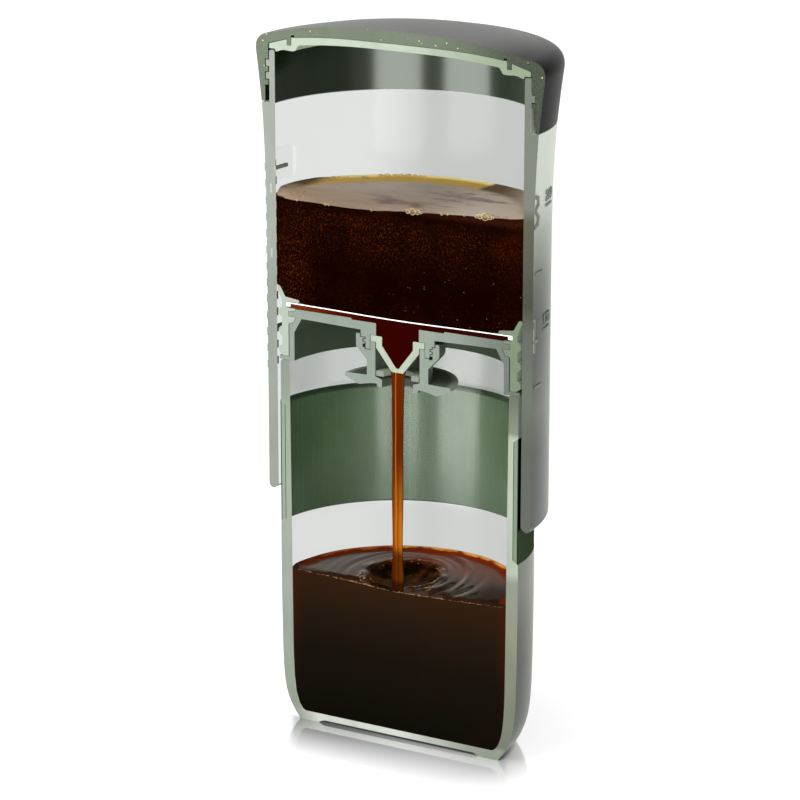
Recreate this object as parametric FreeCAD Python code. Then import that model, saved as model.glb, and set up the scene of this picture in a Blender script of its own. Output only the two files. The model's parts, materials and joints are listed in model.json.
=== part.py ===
import FreeCAD, Part
import math
import os

os.makedirs("parts", exist_ok=True)
V = FreeCAD.Vector

# A press-type cold brew coffee maker, drawn as a section through its axis.
# Origin: where the axis of revolution meets the plane the foot rests on. +Z is up.
# The cut plane is Y = 0 and its open side faces -Y, so every revolved piece is the half at Y >= 0.
# r is the distance from the axis and z the height over the foot, all in millimetres.

# ---------------------------------------------------------------- driving dimensions
BORE_R = 40.0            # sleeve's bore radius
SLEEVE_BOTTOM_Z = 70.3
SLEEVE_RIM_Z = 199.6
SLEEVE_BODY_R = 43.2     # outside, below the flare
SHOULDER_R = 44.42       # outside, at the shoulder under the lid
SHOULDER_Z = 184.55
NECK_R = 41.85           # outside of the threaded neck

LID_PITCH = 3.7          # lid thread, right-hand, single start
LID_RIDGE_R = 42.95      # crest of the sleeve's ridge
LID_RIDGE_H = 1.75
LID_GROOVE_R = 43.25     # root of the lid's groove
LID_GROOVE_H = 2.35
LID_BORE_R = 42.15       # lid's inner wall over the thread
LID_LEFT_Z = 192.2       # ridge's mid height on the -X side, lower turn

LID_BOTTOM_Z = 184.85
LID_MAX_R = 46.2
RIB_R0, RIB_R1 = 34.55, 35.8   # lid's circular rib
RIB_BOTTOM_Z = 201.6

PISTON_LIP_R = 39.8      # seal's upper lip
BEAD_R = 39.5
SEAL_BODY_R = 38.36
FLANGE_R = 39.25         # piston plate's rest flange
FLANGE_Z0, FLANGE_Z1 = 109.75, 110.8
PLATE_TOP_Z = 125.1
OPENING_R = 7.0          # outlet opening in the plate
HUB_R = 10.45            # threaded hub ring, outside
HUB_BORE_R = 9.0
HUB_RIDGE_R = 11.15
HUB_PITCH = 1.5          # collar thread, right-hand, single start
HUB_BOTTOM_Z = 116.75

COLLAR_R = 13.6
COLLAR_WAIST_R = 10.03
COLLAR_FLANGE_R = 17.2
COLLAR_BORE_R = 7.25

BOTTLE_RIM_Z = 109.65
BOTTLE_RIM_R = 38.95
BOTTLE_MAX_R = 39.3
FOOT_R = 33.5
FOOT_RING_R = 26.9
BASE_RECESS = 0.85
FLOOR_Z = 2.75

BAND_R0, BAND_R1 = 37.5, 39.15
BAND_Z0, BAND_Z1 = 60.6, 97.3


# ---------------------------------------------------------------- helpers
def edges_of(items):
    """Edges through a profile. An item is ("L", points) for straight runs, ("S", points) for a smooth
    curve, or ("A", a, b, c) for an arc. Every run starts where the one before it ended."""
    out = []
    for it in items:
        if it[0] == "L":
            p = it[1]
            for a, b in zip(p, p[1:]):
                if math.hypot(a[0] - b[0], a[1] - b[1]) > 1e-6:
                    out.append(Part.LineSegment(V(a[0], 0, a[1]), V(b[0], 0, b[1])).toShape())
        elif it[0] == "A":
            a, b, c = it[1:]
            out.append(Part.Arc(V(a[0], 0, a[1]), V(b[0], 0, b[1]), V(c[0], 0, c[1])).toShape())
        else:
            s = Part.BSplineCurve()
            s.interpolate([V(q[0], 0, q[1]) for q in it[1]])
            out.append(s.toShape())
    return out


def half(items, angle=180.0, start=0.0):
    """Revolve a closed profile in the XZ plane about Z."""
    face = Part.Face(Part.Wire(edges_of(items)))
    if start:
        face.rotate(V(0, 0, 0), V(0, 0, 1), start)
    s = face.revolve(V(0, 0, 0), V(0, 0, 1), angle)
    return s if s.Volume > 0 else s.reversed()


def box(x0, x1, y0, y1, z0, z1):
    return Part.makeBox(x1 - x0, y1 - y0, z1 - z0, V(x0, y0, z0))


KEEP = box(-80, 80, 0, 80, -5, 260)     # the half that is kept


def keep(s):
    return s.common(KEEP)


def helix_bar(pitch, r0, r1, h_root, h_crest, mid_z_at_start, start_deg, sweep_deg):
    """A trapezoid swept along a right-hand helix: a thread ridge, or the tool that cuts a groove."""
    height = pitch * sweep_deg / 360.0
    hx = Part.makeHelix(pitch, height, (r0 + r1) / 2.0)
    prof = Part.makePolygon([V(r0, 0, -h_root / 2), V(r1, 0, -h_crest / 2), V(r1, 0, h_crest / 2),
                             V(r0, 0, h_root / 2), V(r0, 0, -h_root / 2)])
    s = Part.Wire(hx.Edges).makePipeShell([prof], True, True)
    s = s if s.Volume > 0 else s.reversed()
    s.rotate(V(0, 0, 0), V(0, 0, 1), start_deg)
    s.translate(V(0, 0, mid_z_at_start))
    return s


def save(shape, name):
    solids = shape.Solids
    out = solids[0] if len(solids) == 1 else Part.Compound(solids)
    if not out.isValid():
        print("INVALID", name)
    bb = out.BoundBox
    print("%-17s solids %2d  vol %9.1f mm3  x %.2f %.2f y %.2f %.2f z %.2f %.2f"
          % (name, len(solids), out.Volume, bb.XMin, bb.XMax, bb.YMin, bb.YMax, bb.ZMin, bb.ZMax))
    out.exportStep("parts/%s.step" % name)
    return out


# ---------------------------------------------------------------- bottle
bottle = half([
    ("L", [(0, BASE_RECESS), (24.6, BASE_RECESS)]),
    ("A", (24.6, BASE_RECESS), (25.75, BASE_RECESS * 0.72), (26.4, 0.25)),
    ("L", [(26.4, 0.25), (FOOT_RING_R, 0.0), (FOOT_R - 0.4, 0.0)]),
    ("A", (FOOT_R - 0.4, 0.0), (FOOT_R - 0.0464, 0.1464), (FOOT_R + 0.1, 0.5)),
    ("S", [(FOOT_R + 0.1, 0.5), (34.8, 2.15), (35.95, 3.95), (37.15, 6.5), (38.0, 9.3), (38.55, 13.0),
           (38.85, 17.2), (39.05, 23.4), (39.22, 36.0), (BOTTLE_MAX_R, 52.0), (39.25, BAND_Z0 - 0.3)]),
    # the recess that holds the grip band, its ends chamfered
    ("L", [(39.25, BAND_Z0 - 0.3), (BAND_R0, BAND_Z0 + 0.8), (BAND_R0, BAND_Z1 - 1.1), (39.0, BAND_Z1 + 0.1),
           (BOTTLE_RIM_R, BOTTLE_RIM_Z - 0.9)]),
    ("A", (BOTTLE_RIM_R, BOTTLE_RIM_Z - 0.9), (38.69, BOTTLE_RIM_Z - 0.26), (38.05, BOTTLE_RIM_Z)),
    ("L", [(38.05, BOTTLE_RIM_Z), (36.55, BOTTLE_RIM_Z)]),
    ("A", (36.55, BOTTLE_RIM_Z), (36.2, BOTTLE_RIM_Z - 0.15), (36.05, BOTTLE_RIM_Z - 0.5)),
    ("S", [(36.05, BOTTLE_RIM_Z - 0.5), (35.85, 96.0), (35.72, 78.0), (35.55, 50.0), (35.45, 30.0), (35.35, 20.0),
           (35.05, 13.0), (34.45, 8.2), (33.4, 4.9), (32.3, 3.35), (31.2, FLOOR_Z)]),
    ("L", [(31.2, FLOOR_Z), (0, FLOOR_Z), (0, BASE_RECESS)]),
])
save(bottle, "bottle")

band = half([("L", [(39.18, BAND_Z0 - 0.2), (BAND_R1, BAND_Z1 + 0.05), (39.0, BAND_Z1 + 0.1),
                    (BAND_R0, BAND_Z1 - 1.1), (BAND_R0, BAND_Z0 + 0.8), (39.18, BAND_Z0 - 0.2)])]).cut(bottle)
save(band, "grip_band")


# ---------------------------------------------------------------- sleeve
def sleeve_outer(z):
    """Outside radius of the sleeve: straight below, a gentle flare up to the shoulder."""
    t = max(0.0, (z - 148.0) / (SHOULDER_Z - 148.0))
    return SLEEVE_BODY_R + (SHOULDER_R - SLEEVE_BODY_R) * t ** 2.1


FLARE = [(sleeve_outer(z), z) for z in (148.0, 154.0, 160.0, 166.0, 172.0, 178.0, SHOULDER_Z)]
sleeve = half([
    ("A", (40.9, SLEEVE_BOTTOM_Z + 0.35), (41.85, SLEEVE_BOTTOM_Z), (42.8, SLEEVE_BOTTOM_Z + 0.5)),
    ("A", (42.8, SLEEVE_BOTTOM_Z + 0.5), (43.1, SLEEVE_BOTTOM_Z + 0.95), (SLEEVE_BODY_R, SLEEVE_BOTTOM_Z + 1.6)),
    ("L", [(SLEEVE_BODY_R, SLEEVE_BOTTOM_Z + 1.6), FLARE[0]]),
    ("S", FLARE),
    ("L", [FLARE[-1], (NECK_R, SHOULDER_Z), (NECK_R, SLEEVE_RIM_Z - 0.3), (NECK_R - 0.3, SLEEVE_RIM_Z),
           (BORE_R + 0.2, SLEEVE_RIM_Z), (BORE_R, SLEEVE_RIM_Z - 0.2), (BORE_R, SLEEVE_BOTTOM_Z + 1.9)]),
    ("A", (BORE_R, SLEEVE_BOTTOM_Z + 1.9), (40.2, SLEEVE_BOTTOM_Z + 0.95), (40.9, SLEEVE_BOTTOM_Z + 0.35)),
])
LID_START = 25.0        # where the sleeve's ridge begins, degrees from +X
ridge = helix_bar(LID_PITCH, NECK_R - 0.35, LID_RIDGE_R, LID_RIDGE_H + 0.12, LID_RIDGE_H,
                  LID_LEFT_Z - LID_PITCH * (180.0 - LID_START) / 360.0, LID_START, 540.0)
sleeve = sleeve.fuse(keep(ridge))

# inlays in the sleeve's wall: they lie flush with the bore or inside the wall
WINDOW_Z0, WINDOW_Z1, WINDOW_DEG = 162.0, 171.4, 13.5
DASH_Z0, DASH_Z1, DASH_DEG = 165.2, 166.2, 8.6


def wall_patch(r0, r1, z0, z1, deg0, deg1, corner=0.0):
    """A piece of the cylindrical wall, deg measured from the -X side towards +Y."""
    s = half([("L", [(r0, z0), (r1, z0), (r1, z1), (r0, z1), (r0, z0)])], angle=deg1 - deg0, start=180.0 - deg1)
    if corner > 0:
        a = math.radians(180.0 - deg1)
        rm = (r0 + r1) / 2
        for zz, sg in ((z0, 1), (z1, -1)):
            c = V(rm * math.cos(a), rm * math.sin(a), zz)
            t = V(math.sin(a), -math.cos(a), 0) * -1.0   # along the wall, towards -X
            t = V(-math.sin(a), math.cos(a), 0)
            n = V(math.cos(a), math.sin(a), 0)
            p0 = c - n * 3
            tri = Part.makePolygon([p0, p0 + t * corner, p0 + V(0, 0, sg * corner), p0])
            s = s.cut(Part.Face(tri).extrude(n * 6))
    return s


dash = wall_patch(BORE_R, BORE_R + 0.6, DASH_Z0, DASH_Z1, 0.0, DASH_DEG)
window = wall_patch(BORE_R, BORE_R + 0.3, WINDOW_Z0, WINDOW_Z1, 0.0, WINDOW_DEG, corner=1.6)
inserts = wall_patch(41.35, 41.9, 158.5, 161.2, 0.0, 4.0).fuse(wall_patch(41.35, 41.9, 139.4, 142.2, 0.0, 4.0))
sleeve = sleeve.cut(dash).cut(window).cut(inserts)
window = window.cut(dash)
sleeve = save(sleeve, "brew_sleeve")
save(dash, "fill_mark")
save(window, "fill_window")
save(inserts, "wall_inserts")

# raised scale: a ladder of ticks on the -X side, and plain numbers with ticks on the +X side
MARK_H = 0.3
SEGS = {      # stroke figures in a 0..1 by 0..1 cell, (x, z)
    "2": [(0.05, 0.78), (0.18, 0.95), (0.5, 1.0), (0.82, 0.93), (0.95, 0.75), (0.85, 0.52), (0.05, 0.02), (0.98, 0.02)],
    "0": [(0.5, 1.0), (0.85, 0.85), (0.97, 0.5), (0.85, 0.15), (0.5, 0.0), (0.15, 0.15), (0.03, 0.5), (0.15, 0.85),
          (0.5, 1.0)],
    "4": [(0.62, 0.0), (0.62, 1.0), (0.0, 0.32), (0.95, 0.32)],
    "1": [(0.2, 0.8), (0.55, 1.0), (0.55, 0.0)],
    "8": [(0.5, 0.54), (0.15, 0.72), (0.2, 0.93), (0.5, 1.0), (0.8, 0.93), (0.85, 0.72), (0.5, 0.54), (0.08, 0.3),
          (0.15, 0.07), (0.5, 0.0), (0.85, 0.07), (0.92, 0.3), (0.5, 0.54)],
}


def shell_band(z0, z1, h):
    """The layer of thickness h on the outside of the sleeve between two heights. It starts inside the
    wall, and the sleeve is cut out of it afterwards."""
    n = 7
    zs = [z0 + (z1 - z0) * i / (n - 1) for i in range(n)]
    inside = SLEEVE_BODY_R - 0.5
    if z1 <= 148.0:
        outer = [("L", [(SLEEVE_BODY_R + h, z1), (SLEEVE_BODY_R + h, z0)])]
    else:
        outer = [("S", [(sleeve_outer(z) + h, z) for z in reversed(zs)])]
    r0, r1 = sleeve_outer(z0) + h, sleeve_outer(z1) + h
    return half([("L", [(r0, z0), (inside, z0), (inside, z1), (r1, z1)])] + outer)


def stroke(points, width, cx, cz, w, h, deg):
    """Prism of a stroke figure, standing across the wall at an angle from +X. The figure reads
    correctly from outside."""
    prism = None
    a = math.radians(deg)
    n = V(math.cos(a), math.sin(a), 0)
    u = V(-math.sin(a), math.cos(a), 0)
    base = n * 38.0
    pts = [(cx + (p[0] - 0.5) * w, cz + (p[1] - 0.5) * h) for p in points]
    for (x0, z0), (x1, z1) in zip(pts, pts[1:]):
        d = math.hypot(x1 - x0, z1 - z0)
        ex, ez = (x1 - x0) / d * width / 2, (z1 - z0) / d * width / 2
        q = [(x0 - ex - ez, z0 - ez + ex), (x1 + ex - ez, z1 + ez + ex), (x1 + ex + ez, z1 + ez - ex),
             (x0 - ex + ez, z0 - ez - ex)]
        f = Part.Face(Part.makePolygon([base + u * a_ + V(0, 0, b_) for a_, b_ in q + q[:1]])).extrude(n * 10)
        prism = f if prism is None else prism.fuse(f)
    return prism.removeSplitter()


marks = []
LADDER_Z0, LADDER_STEP, LADDER_N, LADDER_H = 107.6, 4.85, 13, 2.3
for i in range(LADDER_N):
    zc = LADDER_Z0 + i * LADDER_STEP
    deg = 11.0 if i % 4 == 2 else 7.0
    b = shell_band(zc - LADDER_H / 2, zc + LADDER_H / 2, 0.25)
    a = math.radians(180.0 - deg)
    wedge = Part.Face(Part.makePolygon([V(0, 0, zc - 3), V(-60, 0, zc - 3), V(60 * math.cos(a), 60 * math.sin(a), zc - 3),
                                        V(0, 0, zc - 3)])).extrude(V(0, 0, 6))
    marks.append(b.common(wedge))
for figure, small, zc in (("8", "240", 162.75), ("4", "120", 127.5)):
    band_ = shell_band(zc - 6, zc + 9, MARK_H)
    big = stroke(SEGS[figure], 1.0, 0.0, zc, 5.2, 8.6, 0.0).common(band_)
    marks.append(big)
    for k, ch in enumerate(small):
        off = (k - (len(small) - 1) / 2.0) * 2.2
        marks.append(stroke(SEGS[ch], 0.5, off, zc + 3.2, 1.5, 2.6, 13.5).common(band_))
    marks.append(stroke([(0, 0.5), (1, 0.5)], 0.6, 0.0, zc + 0.4, 5.4, 1.0, 13.5).common(band_))
for zc in (145.15, 112.6):
    marks.append(stroke([(0, 0.5), (1, 0.5)], 0.75, 1.2, zc, 3.6, 1.0, 3.0).common(shell_band(zc - 2, zc + 2, MARK_H)))
all_marks = []
for m in marks:
    all_marks += [s for s in keep(m).cut(sleeve).Solids if s.Volume > 0.02]
save(Part.Compound(all_marks), "scale_marks")

# ---------------------------------------------------------------- lid
TOP = [(0, 208.65), (10, 208.5), (20, 208.02), (30, 206.95), (38.0, 205.35)]
lid = half([
    ("L", [(SHOULDER_R + 0.03, LID_BOTTOM_Z), (45.25, 192.2), (LID_MAX_R - 0.05, 199.4)]),
    ("S", [(LID_MAX_R - 0.05, 199.4), (LID_MAX_R, 200.5), (46.0, 201.7), (45.3, 202.95), (44.1, 203.9),
           (42.0, 204.6), (38.0, 205.4)]),
    ("S", [(38.0, 205.4), (30, 206.95), (20, 208.02), (10, 208.52), (0, 208.68)]),
    # underside, following the sealing disc
    ("L", [(0, 208.68), (0, 205.2)]),
    ("S", [(0, 205.2), (12, 205.15), (22, 204.9), (30, 204.3), (33.2, 203.95)]),
    ("L", [(33.2, 203.95), (33.6, 204.55), (34.3, 204.5), (RIB_R0, 204.0), (RIB_R0, RIB_BOTTOM_Z),
           (RIB_R1, RIB_BOTTOM_Z), (RIB_R1, 203.4), (41.9, 201.65), (LID_BORE_R, 201.35),
           (LID_BORE_R, 189.6), (LID_GROOVE_R, 189.6), (LID_GROOVE_R, LID_BOTTOM_Z), (SHOULDER_R + 0.03, LID_BOTTOM_Z)]),
])
LID_GROOVE_START = -110.0
groove = helix_bar(LID_PITCH, LID_BORE_R - 0.5, LID_GROOVE_R, LID_GROOVE_H, LID_GROOVE_H,
                   LID_LEFT_Z - LID_PITCH * (180.0 - LID_GROOVE_START) / 360.0, LID_GROOVE_START, 700.0)
lid = keep(lid.cut(groove))
save(lid, "lid_shell")

disc = half([
    ("S", [(0, 203.2), (12, 203.13), (20, 202.85), (29.0, 202.1)]),
    ("L", [(29.0, 202.1), (31.7, 201.85), (32.2, 201.6), (33.1, 200.2)]),
    ("S", [(33.1, 200.2), (34.2, 199.95), (35.8, 200.02), (37.6, 199.98), (38.9, 199.55), (39.45, 199.4)]),
    ("L", [(39.45, 199.4), (39.7, 199.5), (39.75, 200.15), (41.7, 200.15), (41.75, 200.25), (41.75, 201.35),
           (41.6, 201.55), (RIB_R1 + 0.12, 203.2), (RIB_R1 + 0.12, RIB_BOTTOM_Z - 0.12),
           (RIB_R0 - 0.12, RIB_BOTTOM_Z - 0.12), (RIB_R0 - 0.12, 203.75), (33.2, 203.82)]),
    ("S", [(33.2, 203.82), (30, 204.17), (22, 204.77), (12, 205.02), (0, 205.07)]),
    ("L", [(0, 205.07), (0, 203.2)]),
])
save(disc, "lid_seal_disc")

# ---------------------------------------------------------------- piston head
plate = half([
    ("L", [(34.25, FLANGE_Z0), (FLANGE_R, FLANGE_Z0), (FLANGE_R, FLANGE_Z1), (35.9, FLANGE_Z1), (35.9, 120.35)]),
    ("A", (35.9, 120.35), (35.7, 120.65), (35.3, 120.75)),
    # hook groove that the seal locks into, then the plate's edge and its rebate
    ("L", [(35.3, 120.75), (34.7, 120.75), (33.6, 122.8), (36.1, 122.8), (36.1, 124.28), (33.85, 124.42),
           (33.85, PLATE_TOP_Z), (15.2, PLATE_TOP_Z), (15.0, 124.62), (OPENING_R + 0.15, 124.62), (OPENING_R, 124.45),
           (OPENING_R, 121.0), (HUB_BORE_R, 121.0), (HUB_BORE_R, HUB_BOTTOM_Z), (HUB_R, HUB_BOTTOM_Z),
           (HUB_R, 120.15), (12.05, 120.15), (12.05, 122.1)]),
    ("S", [(12.05, 122.1), (18, 122.2), (25, 122.38), (31.75, 122.5)]),
    ("L", [(31.75, 122.5), (34.2, 118.25), (34.25, 118.0), (34.25, FLANGE_Z0)]),
])
HUB_LEFT_Z = 119.08
hub_ridge = helix_bar(HUB_PITCH, HUB_R - 0.3, HUB_RIDGE_R, 0.75, 0.62, HUB_LEFT_Z - HUB_PITCH * 0.5, 0.0, 430.0)
plate = plate.fuse(keep(hub_ridge))
plate = save(plate, "piston_plate")


def bead(z, r=BEAD_R, h=2.9):
    """Half-round bead on the seal's outside, listed upwards."""
    return [("A", (SEAL_BODY_R, z - h / 2), (r, z), (SEAL_BODY_R, z + h / 2))]


seal = half([
    ("L", [(36.2, 110.9), (38.15, 110.9)]),
    ("L", [(38.15, 110.9), (SEAL_BODY_R, 111.17)]),
] + bead(112.62) + [("L", [(SEAL_BODY_R, 114.07), (SEAL_BODY_R, 116.77)])] + bead(118.22) +
    [("L", [(SEAL_BODY_R, 119.67), (SEAL_BODY_R, 122.37)])] + bead(123.82) + [
    ("L", [(SEAL_BODY_R, 125.27), (SEAL_BODY_R, 127.0)]),
    ("S", [(SEAL_BODY_R, 127.0), (38.75, 128.3), (39.4, 129.7), (PISTON_LIP_R, 130.7)]),
    ("A", (PISTON_LIP_R, 130.7), (39.55, 131.4), (38.95, 131.35)),
    ("S", [(38.95, 131.35), (38.35, 130.5), (37.75, 129.4), (37.15, 128.4)]),
    ("L", [(37.15, 128.4), (33.3, 128.0), (32.7, 127.85), (32.4, 127.35), (32.9, 127.1), (36.95, 127.05),
           (36.95, 125.45), (36.2, 125.2), (33.95, 125.2), (33.95, 124.5), (36.2, 124.35), (36.2, 122.7),
           (33.8, 122.7), (34.8, 120.85), (35.35, 120.85)]),
    ("A", (35.35, 120.85), (35.95, 120.7), (36.2, 120.2)),
    ("L", [(36.2, 120.2), (36.2, 110.9)]),
])
save(seal, "piston_seal")

# the filter: a sheet that sags a little, and its thicker edge ring
filter_rim = half([("L", [(35.5, 125.65), (36.88, 125.65), (36.88, 126.9), (35.5, 126.9), (35.5, 125.65)])])
save(filter_rim, "filter_rim")
SHEET_T = 0.32
sheet_pts = [(0, 126.12), (10, 126.2), (20, 126.38), (30, 126.52), (35.5, 126.56)]
filter_sheet = half([
    ("S", sheet_pts),
    ("L", [(35.5, 126.56), (35.5, 126.56 + SHEET_T)]),
    ("S", [(r, z + SHEET_T) for r, z in reversed(sheet_pts)]),
    ("L", [(0, 126.12 + SHEET_T), (0, 126.12)]),
])
save(filter_sheet, "filter_sheet")

# one-way valve: flange, short wall, cone and a slit in the tip
valve = half([
    ("L", [(0, 110.98), (1.55, 110.98)]),
    ("A", (1.55, 110.98), (1.85, 111.06), (2.05, 111.3)),
    ("L", [(2.05, 111.3), (7.0, 117.5), (7.0, 119.12), (8.78, 119.12), (8.78, 120.9), (5.25, 120.9), (5.05, 120.7),
           (5.05, 118.25), (0.55, 112.35)]),
    ("A", (0.55, 112.35), (0.25, 112.15), (0, 112.1)),
    ("L", [(0, 112.1), (0, 110.98)]),
])
valve = valve.cut(box(-1.7, 1.7, -0.1, 0.1, 110, 112.4))
save(valve, "outlet_valve")

collar = half([
    ("L", [(5.05, 105.9), (6.6, 105.9), (6.8, 106.85)]),
    ("S", [(6.8, 106.85), (8.6, 106.78), (10.8, 106.35), (12.7, 105.95)]),
    ("L", [(12.7, 105.95), (13.2, 106.05), (COLLAR_FLANGE_R, 107.85)]),
    ("A", (COLLAR_FLANGE_R, 107.85), (COLLAR_FLANGE_R + 0.12, 108.4), (COLLAR_FLANGE_R - 0.1, 108.9)),
    ("L", [(COLLAR_FLANGE_R - 0.1, 108.9), (COLLAR_WAIST_R + 0.2, 109.05), (COLLAR_WAIST_R, 109.25),
           (COLLAR_WAIST_R, 113.5), (COLLAR_R - 0.15, 117.0), (COLLAR_R, 117.3), (COLLAR_R, 120.8), (COLLAR_R - 0.15, 120.95),
           (12.35, 120.95), (12.35, 119.95), (10.75, 119.95), (10.75, HUB_BOTTOM_Z - 0.2), (8.88, HUB_BOTTOM_Z - 0.2),
           (8.88, 119.0), (COLLAR_BORE_R, 119.0), (COLLAR_BORE_R, 109.0), (7.1, 108.9), (5.2, 108.3), (5.05, 108.15),
           (5.05, 105.9)]),
])
collar_groove = helix_bar(HUB_PITCH, HUB_R - 0.2, HUB_RIDGE_R + 0.3, 1.12, 1.02,
                          HUB_LEFT_Z - HUB_PITCH * 0.5 - HUB_PITCH, -360.0, 1000.0)
collar = keep(collar.cut(collar_groove))
save(collar, "valve_collar")

washer = half([("L", [(4.5, 109.2), (6.95, 109.2), (6.95, 110.6), (6.8, 110.75), (4.65, 110.75), (4.5, 110.6), (4.5, 109.2)])])
save(washer, "collar_washer")
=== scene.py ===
import json
import math
import random

import bpy
import bmesh
import numpy as np
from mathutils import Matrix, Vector

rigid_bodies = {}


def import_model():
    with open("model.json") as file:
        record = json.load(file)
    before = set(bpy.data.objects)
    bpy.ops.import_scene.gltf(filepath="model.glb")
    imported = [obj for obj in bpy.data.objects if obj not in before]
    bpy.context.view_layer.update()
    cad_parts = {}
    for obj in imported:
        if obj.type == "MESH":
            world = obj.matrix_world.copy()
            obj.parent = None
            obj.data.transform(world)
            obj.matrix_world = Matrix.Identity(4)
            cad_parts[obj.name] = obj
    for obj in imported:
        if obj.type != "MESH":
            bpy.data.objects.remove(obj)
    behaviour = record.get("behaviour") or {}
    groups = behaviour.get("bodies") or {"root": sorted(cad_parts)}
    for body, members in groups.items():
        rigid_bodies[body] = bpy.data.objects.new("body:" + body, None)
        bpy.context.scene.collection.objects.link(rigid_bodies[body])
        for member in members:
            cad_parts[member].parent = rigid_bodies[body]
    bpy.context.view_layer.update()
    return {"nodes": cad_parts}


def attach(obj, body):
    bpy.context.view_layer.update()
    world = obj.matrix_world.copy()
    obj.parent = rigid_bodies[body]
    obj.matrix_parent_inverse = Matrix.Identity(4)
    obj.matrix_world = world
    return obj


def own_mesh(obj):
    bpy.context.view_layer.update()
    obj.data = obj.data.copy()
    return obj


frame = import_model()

MM = 0.001
nodes = frame["nodes"]
scene = bpy.context.scene
scene.view_settings.view_transform = "Standard"
scene.view_settings.look = "None"
scene.cycles.transparent_max_bounces = 24


# ------------------------------------------------------------------ colour and node helpers
def lin(r, g, b):
    """sRGB 0..255 to linear."""
    def f(v):
        v /= 255.0
        return v / 12.92 if v <= 0.04045 else ((v + 0.055) / 1.055) ** 2.4
    return (f(r), f(g), f(b), 1.0)


class Tree:
    """Short hand for building a material."""

    def __init__(self, name):
        self.mat = bpy.data.materials.new(name)
        self.mat.use_nodes = True
        self.t = self.mat.node_tree
        for n in list(self.t.nodes):
            self.t.nodes.remove(n)
        self.out = self.t.nodes.new("ShaderNodeOutputMaterial")
        self.tc = None

    def n(self, kind, **props):
        node = self.t.nodes.new(kind)
        for k, v in props.items():
            setattr(node, k, v)
        return node

    def link(self, a, b):
        self.t.links.new(a, b)

    def coord(self):
        if self.tc is None:
            self.tc = self.n("ShaderNodeTexCoord")
        return self.tc.outputs["Object"]

    def axes(self):
        s = self.n("ShaderNodeSeparateXYZ")
        self.link(self.coord(), s.inputs[0])
        return s.outputs

    def math(self, op, a, b=None, clamp=False):
        m = self.n("ShaderNodeMath", operation=op)
        m.use_clamp = clamp
        for i, v in enumerate((a, b)):
            if v is None:
                continue
            if isinstance(v, (int, float)):
                m.inputs[i].default_value = v
            else:
                self.link(v, m.inputs[i])
        return m.outputs[0]

    def radius(self):
        """Distance from the axis of revolution."""
        s = self.axes()
        return self.math("SQRT", self.math("ADD", self.math("POWER", self.math("ABSOLUTE", s["X"]), 2.0),
                                           self.math("POWER", self.math("ABSOLUTE", s["Y"]), 2.0)))

    def ramp(self, value, lo, hi, smooth=True):
        """0 below lo, 1 above hi."""
        m = self.n("ShaderNodeMapRange")
        m.interpolation_type = "SMOOTHSTEP" if smooth else "LINEAR"
        m.clamp = True
        self.link(value, m.inputs["Value"])
        m.inputs["From Min"].default_value = lo
        m.inputs["From Max"].default_value = hi
        m.inputs["To Min"].default_value = 0.0
        m.inputs["To Max"].default_value = 1.0
        return m.outputs["Result"]

    def noise(self, scale, detail=3.0, rough=0.55, stretch=None, dims="3D"):
        nz = self.n("ShaderNodeTexNoise")
        nz.inputs["Scale"].default_value = scale
        nz.inputs["Detail"].default_value = detail
        nz.inputs["Roughness"].default_value = rough
        if stretch:
            mp = self.n("ShaderNodeMapping")
            mp.inputs["Scale"].default_value = stretch
            self.link(self.coord(), mp.inputs["Vector"])
            self.link(mp.outputs["Vector"], nz.inputs["Vector"])
        else:
            self.link(self.coord(), nz.inputs["Vector"])
        return nz.outputs["Fac"]

    def cells(self, scale, out="Color"):
        v = self.n("ShaderNodeTexVoronoi")
        v.inputs["Scale"].default_value = scale
        self.link(self.coord(), v.inputs["Vector"])
        return v.outputs[out]

    def color_ramp(self, value, stops, interpolation="LINEAR"):
        r = self.n("ShaderNodeValToRGB")
        r.color_ramp.interpolation = interpolation
        e = r.color_ramp.elements
        e[0].position, e[0].color = stops[0]
        e[1].position, e[1].color = stops[-1]
        for p, c in stops[1:-1]:
            x = e.new(p)
            x.color = c
        self.link(value, r.inputs["Fac"])
        return r.outputs["Color"]

    def mix(self, fac, a, b, mode="MIX"):
        m = self.n("ShaderNodeMix", data_type="RGBA", blend_type=mode)
        if isinstance(fac, (int, float)):
            m.inputs[0].default_value = fac
        else:
            self.link(fac, m.inputs[0])
        for sock, v in ((m.inputs[6], a), (m.inputs[7], b)):
            if isinstance(v, tuple):
                sock.default_value = v
            else:
                self.link(v, sock)
        return m.outputs[2]

    def bump(self, height, strength=0.1, distance=0.0001, after=None):
        b = self.n("ShaderNodeBump")
        b.inputs["Strength"].default_value = strength
        b.inputs["Distance"].default_value = distance
        self.link(height, b.inputs["Height"])
        if after is not None:
            self.link(after, b.inputs["Normal"])
        return b.outputs["Normal"]

    def principled(self, color, rough=0.5, spec=0.5, coat=0.0, coat_rough=0.1, sheen=0.0, ior=1.5, normal=None,
                   sss=0.0, sss_radius=(0.002, 0.002, 0.0015)):
        p = self.n("ShaderNodeBsdfPrincipled")
        if isinstance(color, tuple):
            p.inputs["Base Color"].default_value = color
        else:
            self.link(color, p.inputs["Base Color"])
        if isinstance(rough, (int, float)):
            p.inputs["Roughness"].default_value = rough
        else:
            self.link(rough, p.inputs["Roughness"])
        p.inputs["Specular IOR Level"].default_value = spec
        p.inputs["Coat Weight"].default_value = coat
        p.inputs["Coat Roughness"].default_value = coat_rough
        p.inputs["Sheen Weight"].default_value = sheen
        p.inputs["IOR"].default_value = ior
        if sss > 0:
            p.inputs["Subsurface Weight"].default_value = sss
            p.inputs["Subsurface Radius"].default_value = sss_radius
            p.inputs["Subsurface Scale"].default_value = 1.0
        if normal is not None:
            self.link(normal, p.inputs["Normal"])
            self.link(normal, p.inputs["Coat Normal"])
        return p

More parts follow.
